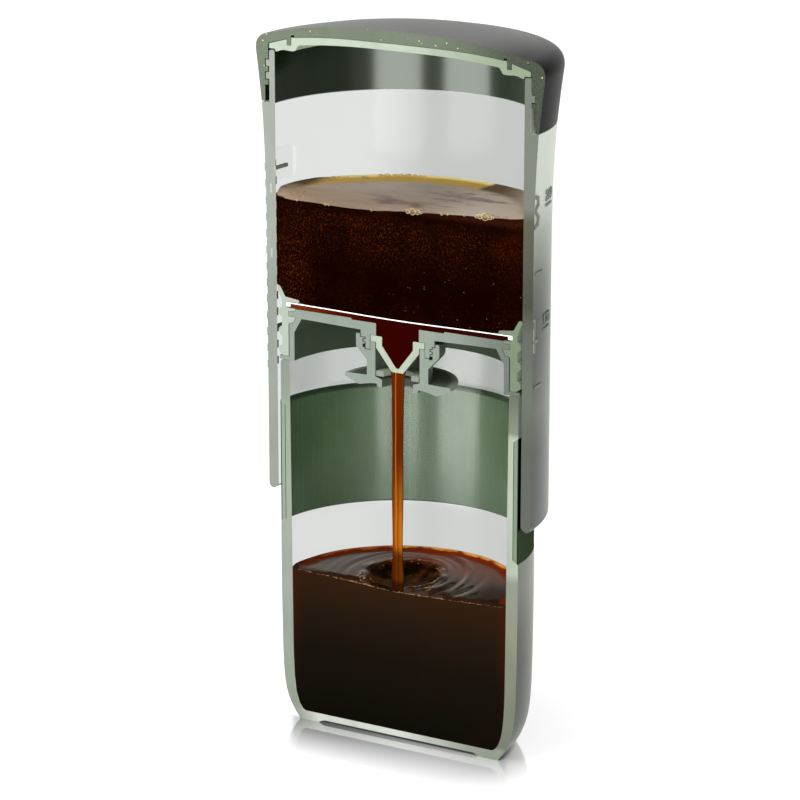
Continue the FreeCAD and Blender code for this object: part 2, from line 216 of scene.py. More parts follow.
    def done(self, shader):
        self.link(shader.outputs[0] if hasattr(shader, "outputs") else shader, self.out.inputs["Surface"])
        return self.mat


# ------------------------------------------------------------------ materials of the plastic pieces
def sawn(name, left, right, grain=0.05, rough=0.5, speck=None, grain_right=0.0, spec=0.0, x0=-0.020, x1=0.040,
         depth_left=None, depth_right=None, low=None, edges=None, zone=None):
    """Cut face of a moulded piece: fine grain, faint flow marks, and a slow painted shade across the width that darkens
    it from left to right. The lists of (height, factor) darken a side where dark liquid stands behind the clear
    plastic."""
    t = Tree(name)
    s = t.axes()
    x = s["X"]
    # painted shade: the face darkens from left to right, away from the light
    base = t.mix(t.ramp(x, x0, x1), left, right)
    for stops, lo, hi in ((depth_left, 0.010, -0.010), (depth_right, -0.010, 0.010)):
        if not stops:
            continue
        z0, z1 = stops[0][0], stops[-1][0]
        tone = t.color_ramp(t.ramp(s["Z"], z0, z1, smooth=False), [((z - z0) / (z1 - z0), c) for z, c in stops])
        side = t.ramp(x if hi > lo else t.math("MULTIPLY", x, -1.0), -0.010, 0.010)
        base = t.mix(side, base, tone, mode="MULTIPLY")
    if low:
        # below this height the light that comes up from the ground brightens the face
        lit = t.math("MULTIPLY", t.ramp(t.math("MULTIPLY", s["Z"], -1.0), -low[1], -low[0]), t.ramp(x, -0.036, -0.026))
        base = t.mix(lit, base, t.mix(t.ramp(x, -0.004, 0.030), low[2], low[3]))
    if zone:
        here = t.math("MULTIPLY", t.math("MULTIPLY", t.ramp(s["Z"], zone[0], zone[0] + 0.004), t.ramp(t.math("MULTIPLY", s["Z"], -1.0), -zone[1], 0.002 - zone[1])),
                      t.ramp(x, 0.020, 0.030))
        base = t.mix(t.math("MULTIPLY", here, 0.9), base, zone[2])
    # painted shade: dark lines along the inner and outer edges of the face
    if edges:
        rr = t.radius()
        rim = t.math("MAXIMUM", t.ramp(rr, edges[1] - 0.00006, edges[1] + 0.00006),
                     t.ramp(t.math("MULTIPLY", rr, -1.0), -edges[0] - 0.00006, -edges[0] + 0.00006))
        base = t.mix(rim, base, edges[2])
    fine = t.noise(5200.0, 2.0, 0.6)
    slow = t.noise(160.0, 4.0, 0.55, stretch=(1.0, 1.0, 0.35))
    base = t.mix(t.math("MULTIPLY", t.math("SUBTRACT", fine, 0.5), grain * 2.0, clamp=True), base, (1, 1, 1, 1))
    base = t.mix(t.math("MULTIPLY", t.math("SUBTRACT", 0.5, fine), grain * 4.0, clamp=True), base, (0, 0, 0, 1))
    base = t.mix(t.math("MULTIPLY", t.math("SUBTRACT", slow, 0.45, clamp=True), 0.55), base, (0.05, 0.06, 0.05, 1))
    if grain_right > 0:
        g = t.math("MULTIPLY", t.ramp(t.noise(2600.0, 1.0, 0.7), 0.50, 0.62), t.ramp(x, 0.022, 0.040))
        base = t.mix(t.math("MULTIPLY", g, grain_right), base, (0.02, 0.028, 0.02, 1))
    if speck:
        # sparse bright grains of two sizes: random cells, of which few pass, and only their middles
        for scale, keep, lo, hi in ((640.0, 0.885, -0.16, -0.08), (1150.0, 0.945, -0.26, -0.14)):
            c = t.n("ShaderNodeSeparateColor")
            t.link(t.cells(scale), c.inputs[0])
            pick = t.ramp(c.outputs[0], keep, keep + 0.005)
            core = t.ramp(t.math("MULTIPLY", t.cells(scale, "Distance"), -1.0), lo, hi)
            base = t.mix(t.math("MULTIPLY", pick, core), base, speck)
    nrm = t.bump(fine, 0.12, 0.00006)
    r = t.math("ADD", t.math("MULTIPLY", slow, 0.2), rough - 0.1)
    return t.done(t.principled(base, r, spec, normal=nrm))


def moulded(name, color, rough=0.45, spec=0.5, coat=0.0, coat_rough=0.15, grain=900.0, depth=0.00004, strength=0.25,
            vary=0.12, dark=None, ior=1.5, sss=0.0):
    """Skin of a moulded piece: fine texture, and slow changes of tone and gloss."""
    t = Tree(name)
    slow = t.noise(45.0, 4.0, 0.6)
    fine = t.noise(grain, 3.0, 0.65)
    d = dark or tuple(c * (1 - 2.2 * vary) for c in color[:3]) + (1.0,)
    base = t.mix(t.ramp(slow, 0.35, 0.68), d, color)
    base = t.mix(t.math("MULTIPLY", t.math("SUBTRACT", fine, 0.5, clamp=True), 0.35), base,
                 tuple(min(1.0, c * 1.5 + 0.01) for c in color[:3]) + (1.0,))
    nrm = t.bump(fine, strength, depth)
    r = t.math("ADD", t.math("MULTIPLY", t.noise(140.0, 3.0, 0.6), 0.16), rough - 0.08)
    return t.done(t.principled(base, r, spec, coat, coat_rough, ior=ior, normal=nrm, sss=sss))


def clear_wall(name, tint_left, tint_right, haze, gloss_rough=0.12, lo=0.50, hi=0.66, most=0.92, veil=0.02,
               mirror=(0.005, 0.005, 0.0, 0.0, 1.0), backed=None, slant=0.6, clearer=None, foot=None):
    """Clear moulded wall. It is seen through face on and turns milky at a slant. haze lists the milky
    tone by height, and mirror is (share outside, share inside, lower start, lower end, upper end) of a
    height range with more gloss. backed is (start, end, tone): above it a dark piece lies close behind."""
    t = Tree(name)
    lw = t.n("ShaderNodeLayerWeight")
    lw.inputs["Blend"].default_value = 0.5
    s = t.axes()
    slow = t.noise(26.0, 3.0, 0.5, stretch=(1.0, 1.0, 0.25))
    fine = t.noise(700.0, 2.0, 0.6)
    nrm = t.bump(fine, 0.06, 0.00003)
    milk = t.math("MULTIPLY", t.ramp(lw.outputs["Facing"], lo, hi), most)
    milk = t.math("ADD", milk, t.math("MULTIPLY", slow, veil), clamp=True)
    z0, z1 = haze[0][0], haze[-1][0]
    tone = t.color_ramp(t.ramp(s["Z"], z0, z1, smooth=False), [((z - z0) / (z1 - z0), c) for z, c in haze])
    tone = t.mix(t.math("MULTIPLY", t.ramp(slow, 0.35, 0.7), 0.12), tone, (0.02, 0.025, 0.02, 1))
    if backed:
        behind = t.ramp(s["Z"], backed[0], backed[1])
        milk = t.math("MAXIMUM", milk, behind)
        tone = t.mix(behind, tone, t.mix(t.ramp(s["X"], -0.020, 0.030), backed[2], backed[3]))
    body = t.principled(tone, 0.42, 0.3, normal=nrm)
    if backed:
        t.link(t.math("MULTIPLY", t.math("SUBTRACT", 1.0, behind), 0.3), body.inputs["Specular IOR Level"])
    see = t.n("ShaderNodeBsdfTransparent")
    # painted shade: what is seen through the wall is darker on the right side than on the left
    tint = t.mix(t.ramp(s["X"], -0.030, -0.010), tint_left, tint_right)
    if clearer:
        tint = t.mix(t.ramp(s["Z"], clearer[0], clearer[0] + 0.001), tint, t.mix(t.ramp(s["X"], -0.0355, -0.0325), clearer[1], clearer[2]))
    t.link(tint, see.inputs["Color"])
    m1 = t.n("ShaderNodeMixShader")
    t.link(milk, m1.inputs[0])
    t.link(see.outputs[0], m1.inputs[1])
    t.link(body.outputs[0], m1.inputs[2])
    gl = t.n("ShaderNodeBsdfGlossy")
    gl.inputs["Color"].default_value = (0.94, 1.0, 0.91, 1)
    gl.inputs["Roughness"].default_value = gloss_rough
    t.link(t.bump(fine, 0.015, 0.00003), gl.inputs["Normal"])
    # mirror share after Schlick, the same from both sides of the surface
    f0 = mirror[0]
    zone = t.math("MULTIPLY", t.ramp(s["Z"], mirror[2], mirror[3] + 1e-6),
                  t.ramp(t.math("MULTIPLY", s["Z"], -1.0), -mirror[4] - 0.0005, -mirror[4] + 0.0005))
    f0 = t.math("ADD", t.math("MULTIPLY", zone, mirror[1] - mirror[0]), mirror[0])
    if foot:
        f0 = t.math("MULTIPLY", f0, t.math("ADD", t.math("MULTIPLY", t.ramp(s["Z"], foot, foot + 0.0010), 0.88), 0.12))
    share = t.math("ADD", t.math("MULTIPLY", t.math("POWER", lw.outputs["Facing"], 5.0), slant), f0)
    m2 = t.n("ShaderNodeMixShader")
    t.link(share, m2.inputs[0])
    t.link(m1.outputs[0], m2.inputs[1])
    t.link(gl.outputs[0], m2.inputs[2])
    return t.done(m2)


def lid_material():
    """Dark satin skin with a fine spark-eroded texture, and painted shade: darker from left to right, darkest round the
    right side, and darker on the sides towards the back.
    """
    t = Tree("lid_skin")
    s = t.axes()
    slow = t.noise(45.0, 4.0, 0.6)
    fine = t.noise(1900.0, 3.0, 0.65)
    # painted shade: darker from left to right
    base = t.mix(t.ramp(s["X"], -0.036, 0.012), lin(76, 81, 72), lin(50, 53, 47))
    base = t.mix(t.math("MULTIPLY", t.ramp(slow, 0.35, 0.68), 0.4), base, lin(46, 49, 43))
    # painted shade: nearly black round the right side, near the cut
    side = t.ramp(s["X"], 0.018, 0.044)
    base = t.mix(t.math("MULTIPLY", side, t.ramp(t.math("MULTIPLY", s["Y"], -1.0), -0.034, -0.002)), base, lin(6, 8, 5))
    base = t.mix(t.math("MULTIPLY", t.math("SUBTRACT", fine, 0.5, clamp=True), 0.35), base, lin(92, 96, 88))
    geo = t.n("ShaderNodeNewGeometry")
    sep = t.n("ShaderNodeSeparateXYZ")
    t.link(geo.outputs["Normal"], sep.inputs[0])
    # painted shade: the sides and undersides towards the back are darker
    back = t.math("MULTIPLY", t.ramp(s["Y"], 0.002, 0.026), t.ramp(t.math("MULTIPLY", sep.outputs["Z"], -1.0), -0.85, -0.40))
    base = t.mix(t.math("MULTIPLY", back, 0.8), base, lin(30, 33, 28))
    p = t.principled(base, 0.42, 0.5, normal=t.bump(fine, 0.35, 0.00005))
    t.link(t.math("SUBTRACT", 0.66, t.math("MULTIPLY", side, 0.60)), p.inputs["Specular IOR Level"])
    return t.done(p)


cut_sleeve = sawn("cut_sleeve", lin(137, 142, 134), lin(102, 107, 98), 0.035,
                  depth_left=[(0.070, (0.88, 0.88, 0.88, 1)), (0.105, (0.86, 0.86, 0.86, 1)), (0.130, (0.83, 0.84, 0.84, 1)),
                              (0.142, (0.98, 0.98, 0.98, 1)), (0.175, (1, 1, 1, 1))],
                  depth_right=[(0.070, (0.64, 0.64, 0.66, 1)), (0.095, (0.62, 0.61, 0.62, 1)), (0.109, (0.76, 0.78, 0.76, 1)),
                               (0.128, (0.64, 0.64, 0.62, 1)), (0.136, (0.36, 0.34, 0.30, 1)), (0.148, (0.50, 0.46, 0.40, 1)),
                               (0.160, (0.58, 0.54, 0.44, 1)), (0.1635, (0.98, 0.98, 0.98, 1)), (0.190, (1, 1, 1, 1))])
cut_bottle = sawn("cut_bottle", lin(136, 143, 131), lin(123, 129, 117), 0.035,
                  depth_left=[(0.0, (0.88, 0.88, 0.88, 1)), (0.010, (0.90, 0.90, 0.90, 1)), (0.030, (0.94, 0.94, 0.94, 1)),
                              (0.050, (1.0, 0.98, 1.0, 1)), (0.094, (0.92, 0.96, 0.90, 1)), (0.100, (0.84, 0.86, 0.83, 1)),
                              (0.1025, (0.78, 0.78, 0.78, 1)), (0.111, (0.70, 0.74, 0.72, 1))],
                  depth_right=[(0.0, (0.70, 0.72, 0.70, 1)), (0.012, (0.72, 0.72, 0.70, 1)), (0.026, (0.80, 0.78, 0.72, 1)),
                               (0.038, (0.95, 0.90, 0.82, 1)), (0.050, (0.98, 0.96, 0.92, 1)), (0.060, (1, 1, 1, 1)),
                               (0.098, (0.84, 0.88, 0.80, 1)), (0.110, (0.50, 0.50, 0.48, 1)), (0.120, (0.42, 0.42, 0.42, 1))],
                   low=(0.0026, 0.0044, lin(196, 201, 191), lin(132, 138, 126)), zone=(0.054, 0.099, lin(158, 166, 151)))
cut_piston = sawn("cut_piston", lin(125, 134, 124), lin(96, 101, 94), 0.03, x0=0.012, x1=0.038)
cut_lid = sawn("cut_lid", lin(98, 107, 92), lin(66, 73, 61), 0.10, rough=0.55, speck=lin(226, 206, 120),
               grain_right=0.8, x0=0.006, x1=0.042)
cut_disc = sawn("cut_disc", lin(160, 171, 155), lin(124, 137, 115), 0.02, rough=0.6, x0=-0.005)
cut_seal = sawn("cut_seal", lin(152, 161, 148), lin(104, 118, 96), 0.02, rough=0.6, x0=-0.020, x1=0.030)
cut_valve = sawn("cut_valve", lin(158, 167, 151), lin(146, 156, 138), 0.02, rough=0.6)
cut_washer = sawn("cut_washer", lin(124, 132, 122), lin(116, 124, 114), 0.02, rough=0.6)
# the band's cut face gets painted shade lines along both of its edges
cut_band = sawn("cut_band", lin(126, 140, 119), lin(112, 127, 106), 0.03, rough=0.6, edges=(0.03768, 0.03888, lin(14, 19, 12)))
cut_filter = sawn("cut_filter", lin(252, 252, 250), lin(240, 240, 238), 0.02, rough=0.7)
cut_inlay = sawn("cut_inlay", lin(160, 166, 158), lin(150, 156, 148), 0.02)

lid_skin = lid_material()
lid_inside = moulded("lid_inside", lin(24, 33, 22), 0.5, 0.15, vary=0.08)
soft_green = moulded("soft_green", lin(156, 168, 146), 0.58, 0.1, grain=1400.0, vary=0.04, sss=0.0)
valve_skin = moulded("valve_skin", lin(160, 172, 148), 0.5, 0.1, grain=1400.0, vary=0.04)
piston_skin = moulded("piston_skin", lin(66, 78, 61), 0.38, 0.15, vary=0.08)


def collar_material():
    """Smooth moulded skin, with painted light: paler towards the flange's rim."""
    t = Tree("collar_skin")
    slow = t.noise(60.0, 4.0, 0.6)
    fine = t.noise(1100.0, 3.0, 0.65)
    base = t.mix(t.ramp(slow, 0.35, 0.68), lin(74, 80, 70), lin(86, 92, 82))
    # painted light: the flange turns paler towards its rim
    base = t.mix(t.math("MULTIPLY", t.ramp(t.radius(), 0.0146, 0.0166), 0.85), base, lin(146, 153, 143))
    base = t.mix(t.math("MULTIPLY", t.math("SUBTRACT", fine, 0.5, clamp=True), 0.35), base, lin(170, 176, 164))
    r = t.math("ADD", t.math("MULTIPLY", t.noise(140.0, 3.0, 0.6), 0.16), 0.28)
    return t.done(t.principled(base, r, 0.2, normal=t.bump(fine, 0.2, 0.00004)))


collar_skin = collar_material()
marks_skin = moulded("marks_skin", lin(124, 130, 120), 0.5, 0.25, vary=0.06)
inlay_grey = moulded("inlay_grey", lin(120, 128, 120), 0.4, 0.3, vary=0.06)
wall_clear = clear_wall("sleeve_wall", (0.81, 0.82, 0.81, 1), (0.70, 0.71, 0.70, 1),
                        [(0.070, lin(56, 61, 55)), (0.094, lin(58, 64, 57)), (0.105, lin(88, 94, 84)), (0.118, lin(64, 70, 62)), (0.132, lin(50, 56, 48)),
                         (0.142, lin(86, 92, 80)), (0.156, lin(158, 164, 151)), (0.166, lin(214, 220, 208)), (0.185, lin(220, 227, 214))],
                        lo=0.50, hi=0.57, most=0.97, slant=0.30)
wall_bore = clear_wall("sleeve_bore", (0.81, 0.82, 0.81, 1), (0.70, 0.71, 0.70, 1), [(0.07, lin(190, 195, 188)), (0.2, lin(190, 195, 188))],
                       gloss_rough=0.18, lo=0.80, hi=0.98, veil=0.004, mirror=(0.0026, 0.0262, 0.1843, 0.1848, 1.0),
                       backed=(0.1843, 0.1847, lin(12, 24, 9), lin(24, 37, 20)))
window_clear = clear_wall("window_clear", (0.90, 0.91, 0.90, 1), (0.88, 0.89, 0.88, 1), [(0.07, lin(180, 186, 178)), (0.2, lin(180, 186, 178))],
                          lo=0.80, hi=0.98, veil=0.06, mirror=(0.0055, 0.0055, 0.1845, 0.1865, 1.0))
bottle_clear = clear_wall("bottle_wall", (0.77, 0.78, 0.77, 1), (0.715, 0.725, 0.715, 1),
                          [(0.0, lin(104, 111, 100)), (0.012, lin(66, 69, 58)), (0.030, lin(60, 61, 50)), (0.040, lin(80, 79, 68)),
                           (0.052, lin(112, 117, 104)), (0.11, lin(120, 126, 115))], lo=0.50, hi=0.57, most=0.97, slant=0.25,
                          clearer=(0.098, (0.75, 0.76, 0.75, 1), (0.85, 0.86, 0.85, 1)))
bottle_bore = clear_wall("bottle_bore", (0.77, 0.78, 0.77, 1), (0.715, 0.725, 0.715, 1), [(0.0, lin(190, 195, 188)), (0.11, lin(190, 195, 188))],
                         gloss_rough=0.17, lo=0.80, hi=0.98, veil=0.004, mirror=(0.0070, 0.0165, 0.0600, 0.0615, 0.0975), foot=0.0598,
                         clearer=(0.098, (0.75, 0.76, 0.75, 1), (0.85, 0.86, 0.85, 1)))


def joined_material():
    """Where two pieces are moulded onto each other there is no surface to see."""
    t = Tree("joined_faces")
    see = t.n("ShaderNodeBsdfTransparent")
    see.inputs["Color"].default_value = (1, 1, 1, 1)
    return t.done(see)


joined = joined_material()


def band_material():
    """Matt green grip: a slow change of tone, fine pebble texture, lighter towards the right, with painted shade
    towards both edges and on the outside at the right.
    """
    t = Tree("grip_green")
    z = t.axes()["Z"]
    slow = t.noise(38.0, 4.0, 0.6)
    pebble = t.noise(1500.0, 3.0, 0.7)
    base = t.mix(t.ramp(slow, 0.35, 0.65), lin(74, 100, 66), lin(84, 111, 74))
    base = t.mix(t.math("MULTIPLY", pebble, 0.25), base, lin(52, 72, 46))
    # painted shade: darker towards the top and bottom edges
    edge = t.math("MAXIMUM", t.ramp(z, 0.0957, 0.0969), t.ramp(t.math("MULTIPLY", z, -1.0), -0.0617, -0.0609))
    base = t.mix(t.math("MULTIPLY", edge, 0.8), base, lin(30, 38, 28))
    x = t.axes()["X"]
    base = t.mix(t.math("MULTIPLY", t.ramp(x, -0.010, 0.030), 0.7), base, lin(96, 124, 86))
    # painted shade on the outside at the right: darker, and nearly black above the sleeve's lower edge, where it lies
    # in the narrow gap under the sleeve
    shaded_outside = t.math("MULTIPLY", t.ramp(x, 0.020, 0.034), t.ramp(t.radius(), 0.0378, 0.0382))
    base = t.mix(t.math("MULTIPLY", shaded_outside, 0.88), base, lin(50, 61, 45))
    base = t.mix(t.math("MULTIPLY", shaded_outside, t.ramp(z, 0.0695, 0.0710)), base, lin(3, 5, 3))
    p = t.principled(base, 0.52, 0.25, normal=t.bump(pebble, 0.3, 0.00006))
    t.link(t.math("MULTIPLY", t.math("SUBTRACT", 1.0, shaded_outside), 0.25), p.inputs["Specular IOR Level"])
    return t.done(p)


def filter_material():
    """Fine woven mesh, off-white."""
    t = Tree("filter_mesh")
    s = t.axes()
    w = 2 * math.pi / 0.00042
    a = t.math("SINE", t.math("MULTIPLY", s["X"], w))
    b = t.math("SINE", t.math("MULTIPLY", s["Y"], w))
    weave = t.math("MULTIPLY", a, b)
    stain = t.noise(60.0, 4.0, 0.6)
    base = t.mix(t.ramp(stain, 0.45, 0.75), lin(238, 234, 224), lin(196, 168, 132))
    base = t.mix(t.math("MULTIPLY", t.ramp(weave, -0.2, 0.9), 0.35), base, lin(150, 130, 104))
    return t.done(t.principled(base, 0.7, 0.3, normal=t.bump(weave, 0.5, 0.0001)))


grip_green = band_material()
filter_mesh = filter_material()


def dress(node, skin, cut, *splits):
    """Skin on the node, another material on the faces of the cut plane, and for each split
    (material, test) one more on the faces whose centre and normal pass the test."""
    o = nodes[node]
    m = o.data
    m.materials.clear()
    m.materials.append(skin)
    m.materials.append(cut)
    nf = len(m.polygons)
    nrm = np.zeros(nf * 3)
    m.polygons.foreach_get("normal", nrm)
    cen = np.zeros(nf * 3)
    m.polygons.foreach_get("center", cen)
    nrm, cen = nrm.reshape(-1, 3), cen.reshape(-1, 3)
    idx = np.zeros(nf, np.int32)
    for k, (mat, test) in enumerate(splits):
        m.materials.append(mat)
        idx[test(cen, nrm)] = 2 + k
    idx[(nrm[:, 1] < -0.995) & (np.abs(cen[:, 1]) < 3e-5)] = 1
    m.polygons.foreach_set("material_index", idx)
    m.update()


def inward(cen, nrm):
    """Faces that look at the axis, and those that look down."""
    r = np.hypot(cen[:, 0], cen[:, 1]) + 1e-9
    rad = (cen[:, 0] * nrm[:, 0] + cen[:, 1] * nrm[:, 1]) / r
    return (rad < -0.2) | (nrm[:, 2] < -0.6)


def bore(cen, nrm):
    r = np.hypot(cen[:, 0], cen[:, 1]) + 1e-9
    return (cen[:, 0] * nrm[:, 0] + cen[:, 1] * nrm[:, 1]) / r < -0.3


def recess(cen, nrm):
    """The bottle's faces that the grip band is moulded onto."""
    r = np.hypot(cen[:, 0], cen[:, 1]) + 1e-9
    rad = (cen[:, 0] * nrm[:, 0] + cen[:, 1] * nrm[:, 1]) / r
    return (r > 0.0370) & (cen[:, 2] > 0.0603) & (cen[:, 2] < 0.0974) & (rad > 0.2)


def pocket(cen, nrm):
    """The sleeve's faces that its inlays are moulded onto."""
    r = np.hypot(cen[:, 0], cen[:, 1])
    a = np.degrees(np.arctan2(cen[:, 1], -cen[:, 0]))
    near = (a < 14.2) & (r > 0.04003) & (r < 0.0420)
    return near & (((cen[:, 2] > 0.1618) & (cen[:, 2] < 0.1716) & (r < 0.0409)) | ((cen[:, 2] > 0.1583) & (cen[:, 2] < 0.1614))
                   | ((cen[:, 2] > 0.1392) & (cen[:, 2] < 0.1424)))


dress("lid_shell", lid_skin, cut_lid, (lid_inside, inward))
dress("lid_seal_disc", soft_green, cut_disc)
dress("brew_sleeve", wall_clear, cut_sleeve, (wall_bore, bore), (joined, pocket))
dress("scale_marks", marks_skin, cut_sleeve)
dress("fill_mark", inlay_grey, cut_inlay)
dress("fill_window", window_clear, cut_sleeve)
dress("wall_inserts", cut_inlay, cut_inlay)
dress("piston_seal", soft_green, cut_seal)
dress("filter_sheet", filter_mesh, cut_filter)
dress("filter_rim", filter_mesh, cut_filter)
dress("piston_plate", piston_skin, cut_piston)
dress("outlet_valve", valve_skin, cut_valve)
dress("valve_collar", collar_skin, cut_piston)
dress("collar_washer", soft_green, cut_washer)
dress("bottle", bottle_clear, cut_bottle, (bottle_bore, bore), (joined, recess))
dress("grip_band", grip_green, cut_band)


# ------------------------------------------------------------------ coffee
CUT_Y = 0.00006      # the coffee's cut face lies this far behind the plane of the section


def new_object(name, verts, faces, smooth=True, sharp_deg=35.0):
    me = bpy.data.meshes.new(name)
    me.from_pydata([tuple(v) for v in verts], [], faces)
    me.validate()
    bm = bmesh.new()
    bm.from_mesh(me)
    bmesh.ops.remove_doubles(bm, verts=bm.verts, dist=1e-7)
    bmesh.ops.recalc_face_normals(bm, faces=bm.faces)
    for f in bm.faces:
        f.smooth = smooth
    for e in bm.edges:
        if len(e.link_faces) == 2 and e.calc_face_angle(0.0) > math.radians(sharp_deg):
            e.smooth = False
    bm.to_mesh(me)
    bm.free()
    o = bpy.data.objects.new(name, me)
    bpy.context.scene.collection.objects.link(o)
    return o


def poured(name, side, height, n_r=96, n_a=168, y_min=CUT_Y):
    """Half-round body of liquid. side lists (r, z) from the bottom middle to the top edge; the top
    surface is height(x, y) over the last radius. The front is one cap in the plane y = y_min."""
    R = side[-1][0]
    verts, faces = [], []
    angs = [math.pi * i / n_a for i in range(n_a + 1)]
    k = len(side)
    rs = [R * (1 - (1 - j / n_r) ** 1.35) for j in range(1, n_r + 1)]

    def at(r, a):
        return r * math.cos(a), max(r * math.sin(a), 0.0) + y_min

    # side rings, top edge first taken from the surface
    ring = []
    for i, (r, z) in enumerate(side[1:-1]):
        row = []
        for a in angs:
            x, y = at(r, a)
            verts.append((x, y, z))
            row.append(len(verts) - 1)
        ring.append(row)
    top = []
    for r in rs:
        row = []
        for a in angs:
            x, y = at(r, a)
            verts.append((x, y, height(x, y)))
            row.append(len(verts) - 1)
        top.append(row)
    verts.append((0, y_min, side[0][1]))
    low = len(verts) - 1
    verts.append((0, y_min, height(0, y_min)))
    mid = len(verts) - 1
    for i in range(n_a):
        faces.append((low, ring[0][i], ring[0][i + 1]))
        for u, v in zip(ring, ring[1:]):
            faces.append((u[i], v[i], v[i + 1], u[i + 1]))
        faces.append((ring[-1][i], top[-1][i], top[-1][i + 1], ring[-1][i + 1]))
        for u, v in zip(top[:0:-1], top[-2::-1]):
            faces.append((u[i], v[i], v[i + 1], u[i + 1]))
        faces.append((top[0][i], mid, top[0][i + 1]))
    # front cap, one face between the bottom line and the surface line: the outline is walked once
    right = [r_[0] for r_ in ring] + [r_[0] for r_ in top[::-1]]
    left = [r_[-1] for r_ in ring] + [r_[-1] for r_ in top[::-1]]
    outline = [low] + right + [mid] + left[::-1]
    faces.append(tuple(outline[::-1]))
    o = new_object(name, verts, faces, sharp_deg=40.0)
    for f in o.data.polygons:
        if f.normal.y < -0.99 and abs(f.center.y - y_min) < 1e-6:
            f.material_index = 1
    return o


def revolved(name, profile, n_a=64, a0=0.0, a1=math.pi, y_min=CUT_Y, cap=True):
    """Half-round solid from a closed (r, z) outline."""
    verts, faces = [], []
    rows = []
    for i in range(n_a + 1):
        a = a0 + (a1 - a0) * i / n_a
        row = []
        for r, z in profile:
            verts.append((r * math.cos(a), max(r * math.sin(a), 0.0) + y_min, z))
            row.append(len(verts) - 1)
        rows.append(row)
    k = len(profile)
    for u, v in zip(rows, rows[1:]):
        for j in range(k):
            q = (u[j], u[(j + 1) % k], v[(j + 1) % k], v[j])
            faces.append(q)
    if cap:
        faces.append(tuple(rows[0]))
        faces.append(tuple(rows[-1][::-1]))
    return new_object(name, verts, faces)


def mm(points):
    return [(r * MM, z * MM) for r, z in points]


rng = random.Random(7)


# the brew above the filter
BREW_FRONT = ((-40.0, 157.5), (-33.6, 157.1), (-27.8, 157.1), (-15.6, 156.95), (-8.4, 157.2), (-1.7, 157.8), (2.6, 158.15),
              (14.2, 158.85), (25.0, 159.4), (35.1, 159.95), (40.0, 160.3))
BREW_BACK = ((0.0, 159.9), (56.0, 159.5), (68.0, 159.1), (79.0, 158.95), (100.0, 159.0), (128.0, 159.15), (146.0, 159.5), (158.0, 159.9),
             (168.0, 160.0), (180.0, 159.8))


def along(table, v):
    for (a, p), (b, q) in zip(table, table[1:]):
        if v <= b:
            u = max(0.0, min(1.0, (v - a) / (b - a)))
            u = u * u * (3 - 2 * u)
            return p + (q - p) * u
    return table[-1][1]


def brew_height(x, y):
    X, Y = x / MM, y / MM
    r = math.hypot(X, Y)
    front = along(BREW_FRONT, X)
    back = along(BREW_BACK, math.degrees(math.atan2(max(Y, 0.0), X)))
    # the front edge hangs a little, and is rounded more sharply near the wall
    reach = 3.0 + 13.0 * max(0.0, 1 - (abs(X + 4) / 34.0) ** 2)
    w = min(1.0, Y / reach)
    w = w * (2 - w)
    level = 159.35 + (back - 159.35) * (r / 40.0) ** 3
    z = front * (1 - w) + level * w
    d = math.hypot(X - 6, Y - 12)
    z += 0.07 * math.sin(X * 0.20 + Y * 0.16) * math.exp(-((Y - 12) / 13.0) ** 2)
    z += 0.035 * math.sin(X * 0.35 - Y * 0.3 + 1.2) * math.exp(-((X - 12) / 18.0) ** 2)
    z += 0.04 * math.sin(d * 0.38)
    z += 0.30 * math.exp(-(39.95 - r) / 0.7)
    return z * MM


brew = poured("coffee_brew", mm([(0, 126.46), (10, 126.54), (20, 126.72), (30, 126.86), (32.6, 127.3), (32.9, 127.95),
                                 (37.1, 128.5), (37.7, 129.45), (38.3, 130.55), (38.9, 131.45), (39.5, 131.6),
                                 (39.97, 131.7), (39.97, 135.0), (39.97, 145.0), (39.97, 160.0)]), brew_height)

# the layer between plate and filter, and what fills the opening and the valve's cone
film = revolved("coffee_film", mm([(0, 126.1), (10, 126.18), (20, 126.36), (30, 126.5), (35.45, 126.54), (35.45, 125.7),
                                   (33.9, 125.4), (33.9, 125.14), (15.2, 125.14), (15.0, 124.66), (7.02, 124.6), (7.02, 120.95),
                                   (5.2, 120.85), (5.02, 120.6), (5.02, 118.3), (0.5, 112.42), (0, 112.2)]), n_a=96)

# the stream, which narrows a little on its way down
prof = []
for i in range(41):
    u = i / 40
    z = 111.6 - u * (111.6 - 14.0)
    r = 1.96 + 0.42 * math.exp(-(111.6 - z) / 1.2) - 0.34 * (1 - math.exp(-(111.6 - z) / 20.0))
    r += 0.10 * math.sin((111.6 - z) * 0.21) * (1 - math.exp(-(111.6 - z) / 30.0))
    if z < 56:
        r += 0.35 * math.exp(-((z - 50.5) / 2.5) ** 2)
    prof.append((r, z))
prof.append((0, 14.0))
prof.append((0, 111.6))
stream = revolved("coffee_stream", mm(prof), n_a=48, y_min=CUT_Y * 3)
for v in stream.data.vertices:
    v.co.x -= 0.00015 * (1 - math.exp(-max(0.0, 0.1116 - v.co.z) / 0.015))


# the finished brew in the bottle
POOL_FRONT = ((-35.5, 46.9), (-33.0, 46.3), (-25.4, 46.1), (-17.5, 45.85), (-10.5, 45.5), (-5.2, 45.25), (0.0, 45.0), (6.2, 45.3),
              (12.1, 45.6), (19.7, 45.85), (25.9, 46.2), (32.4, 46.6), (35.5, 46.9))


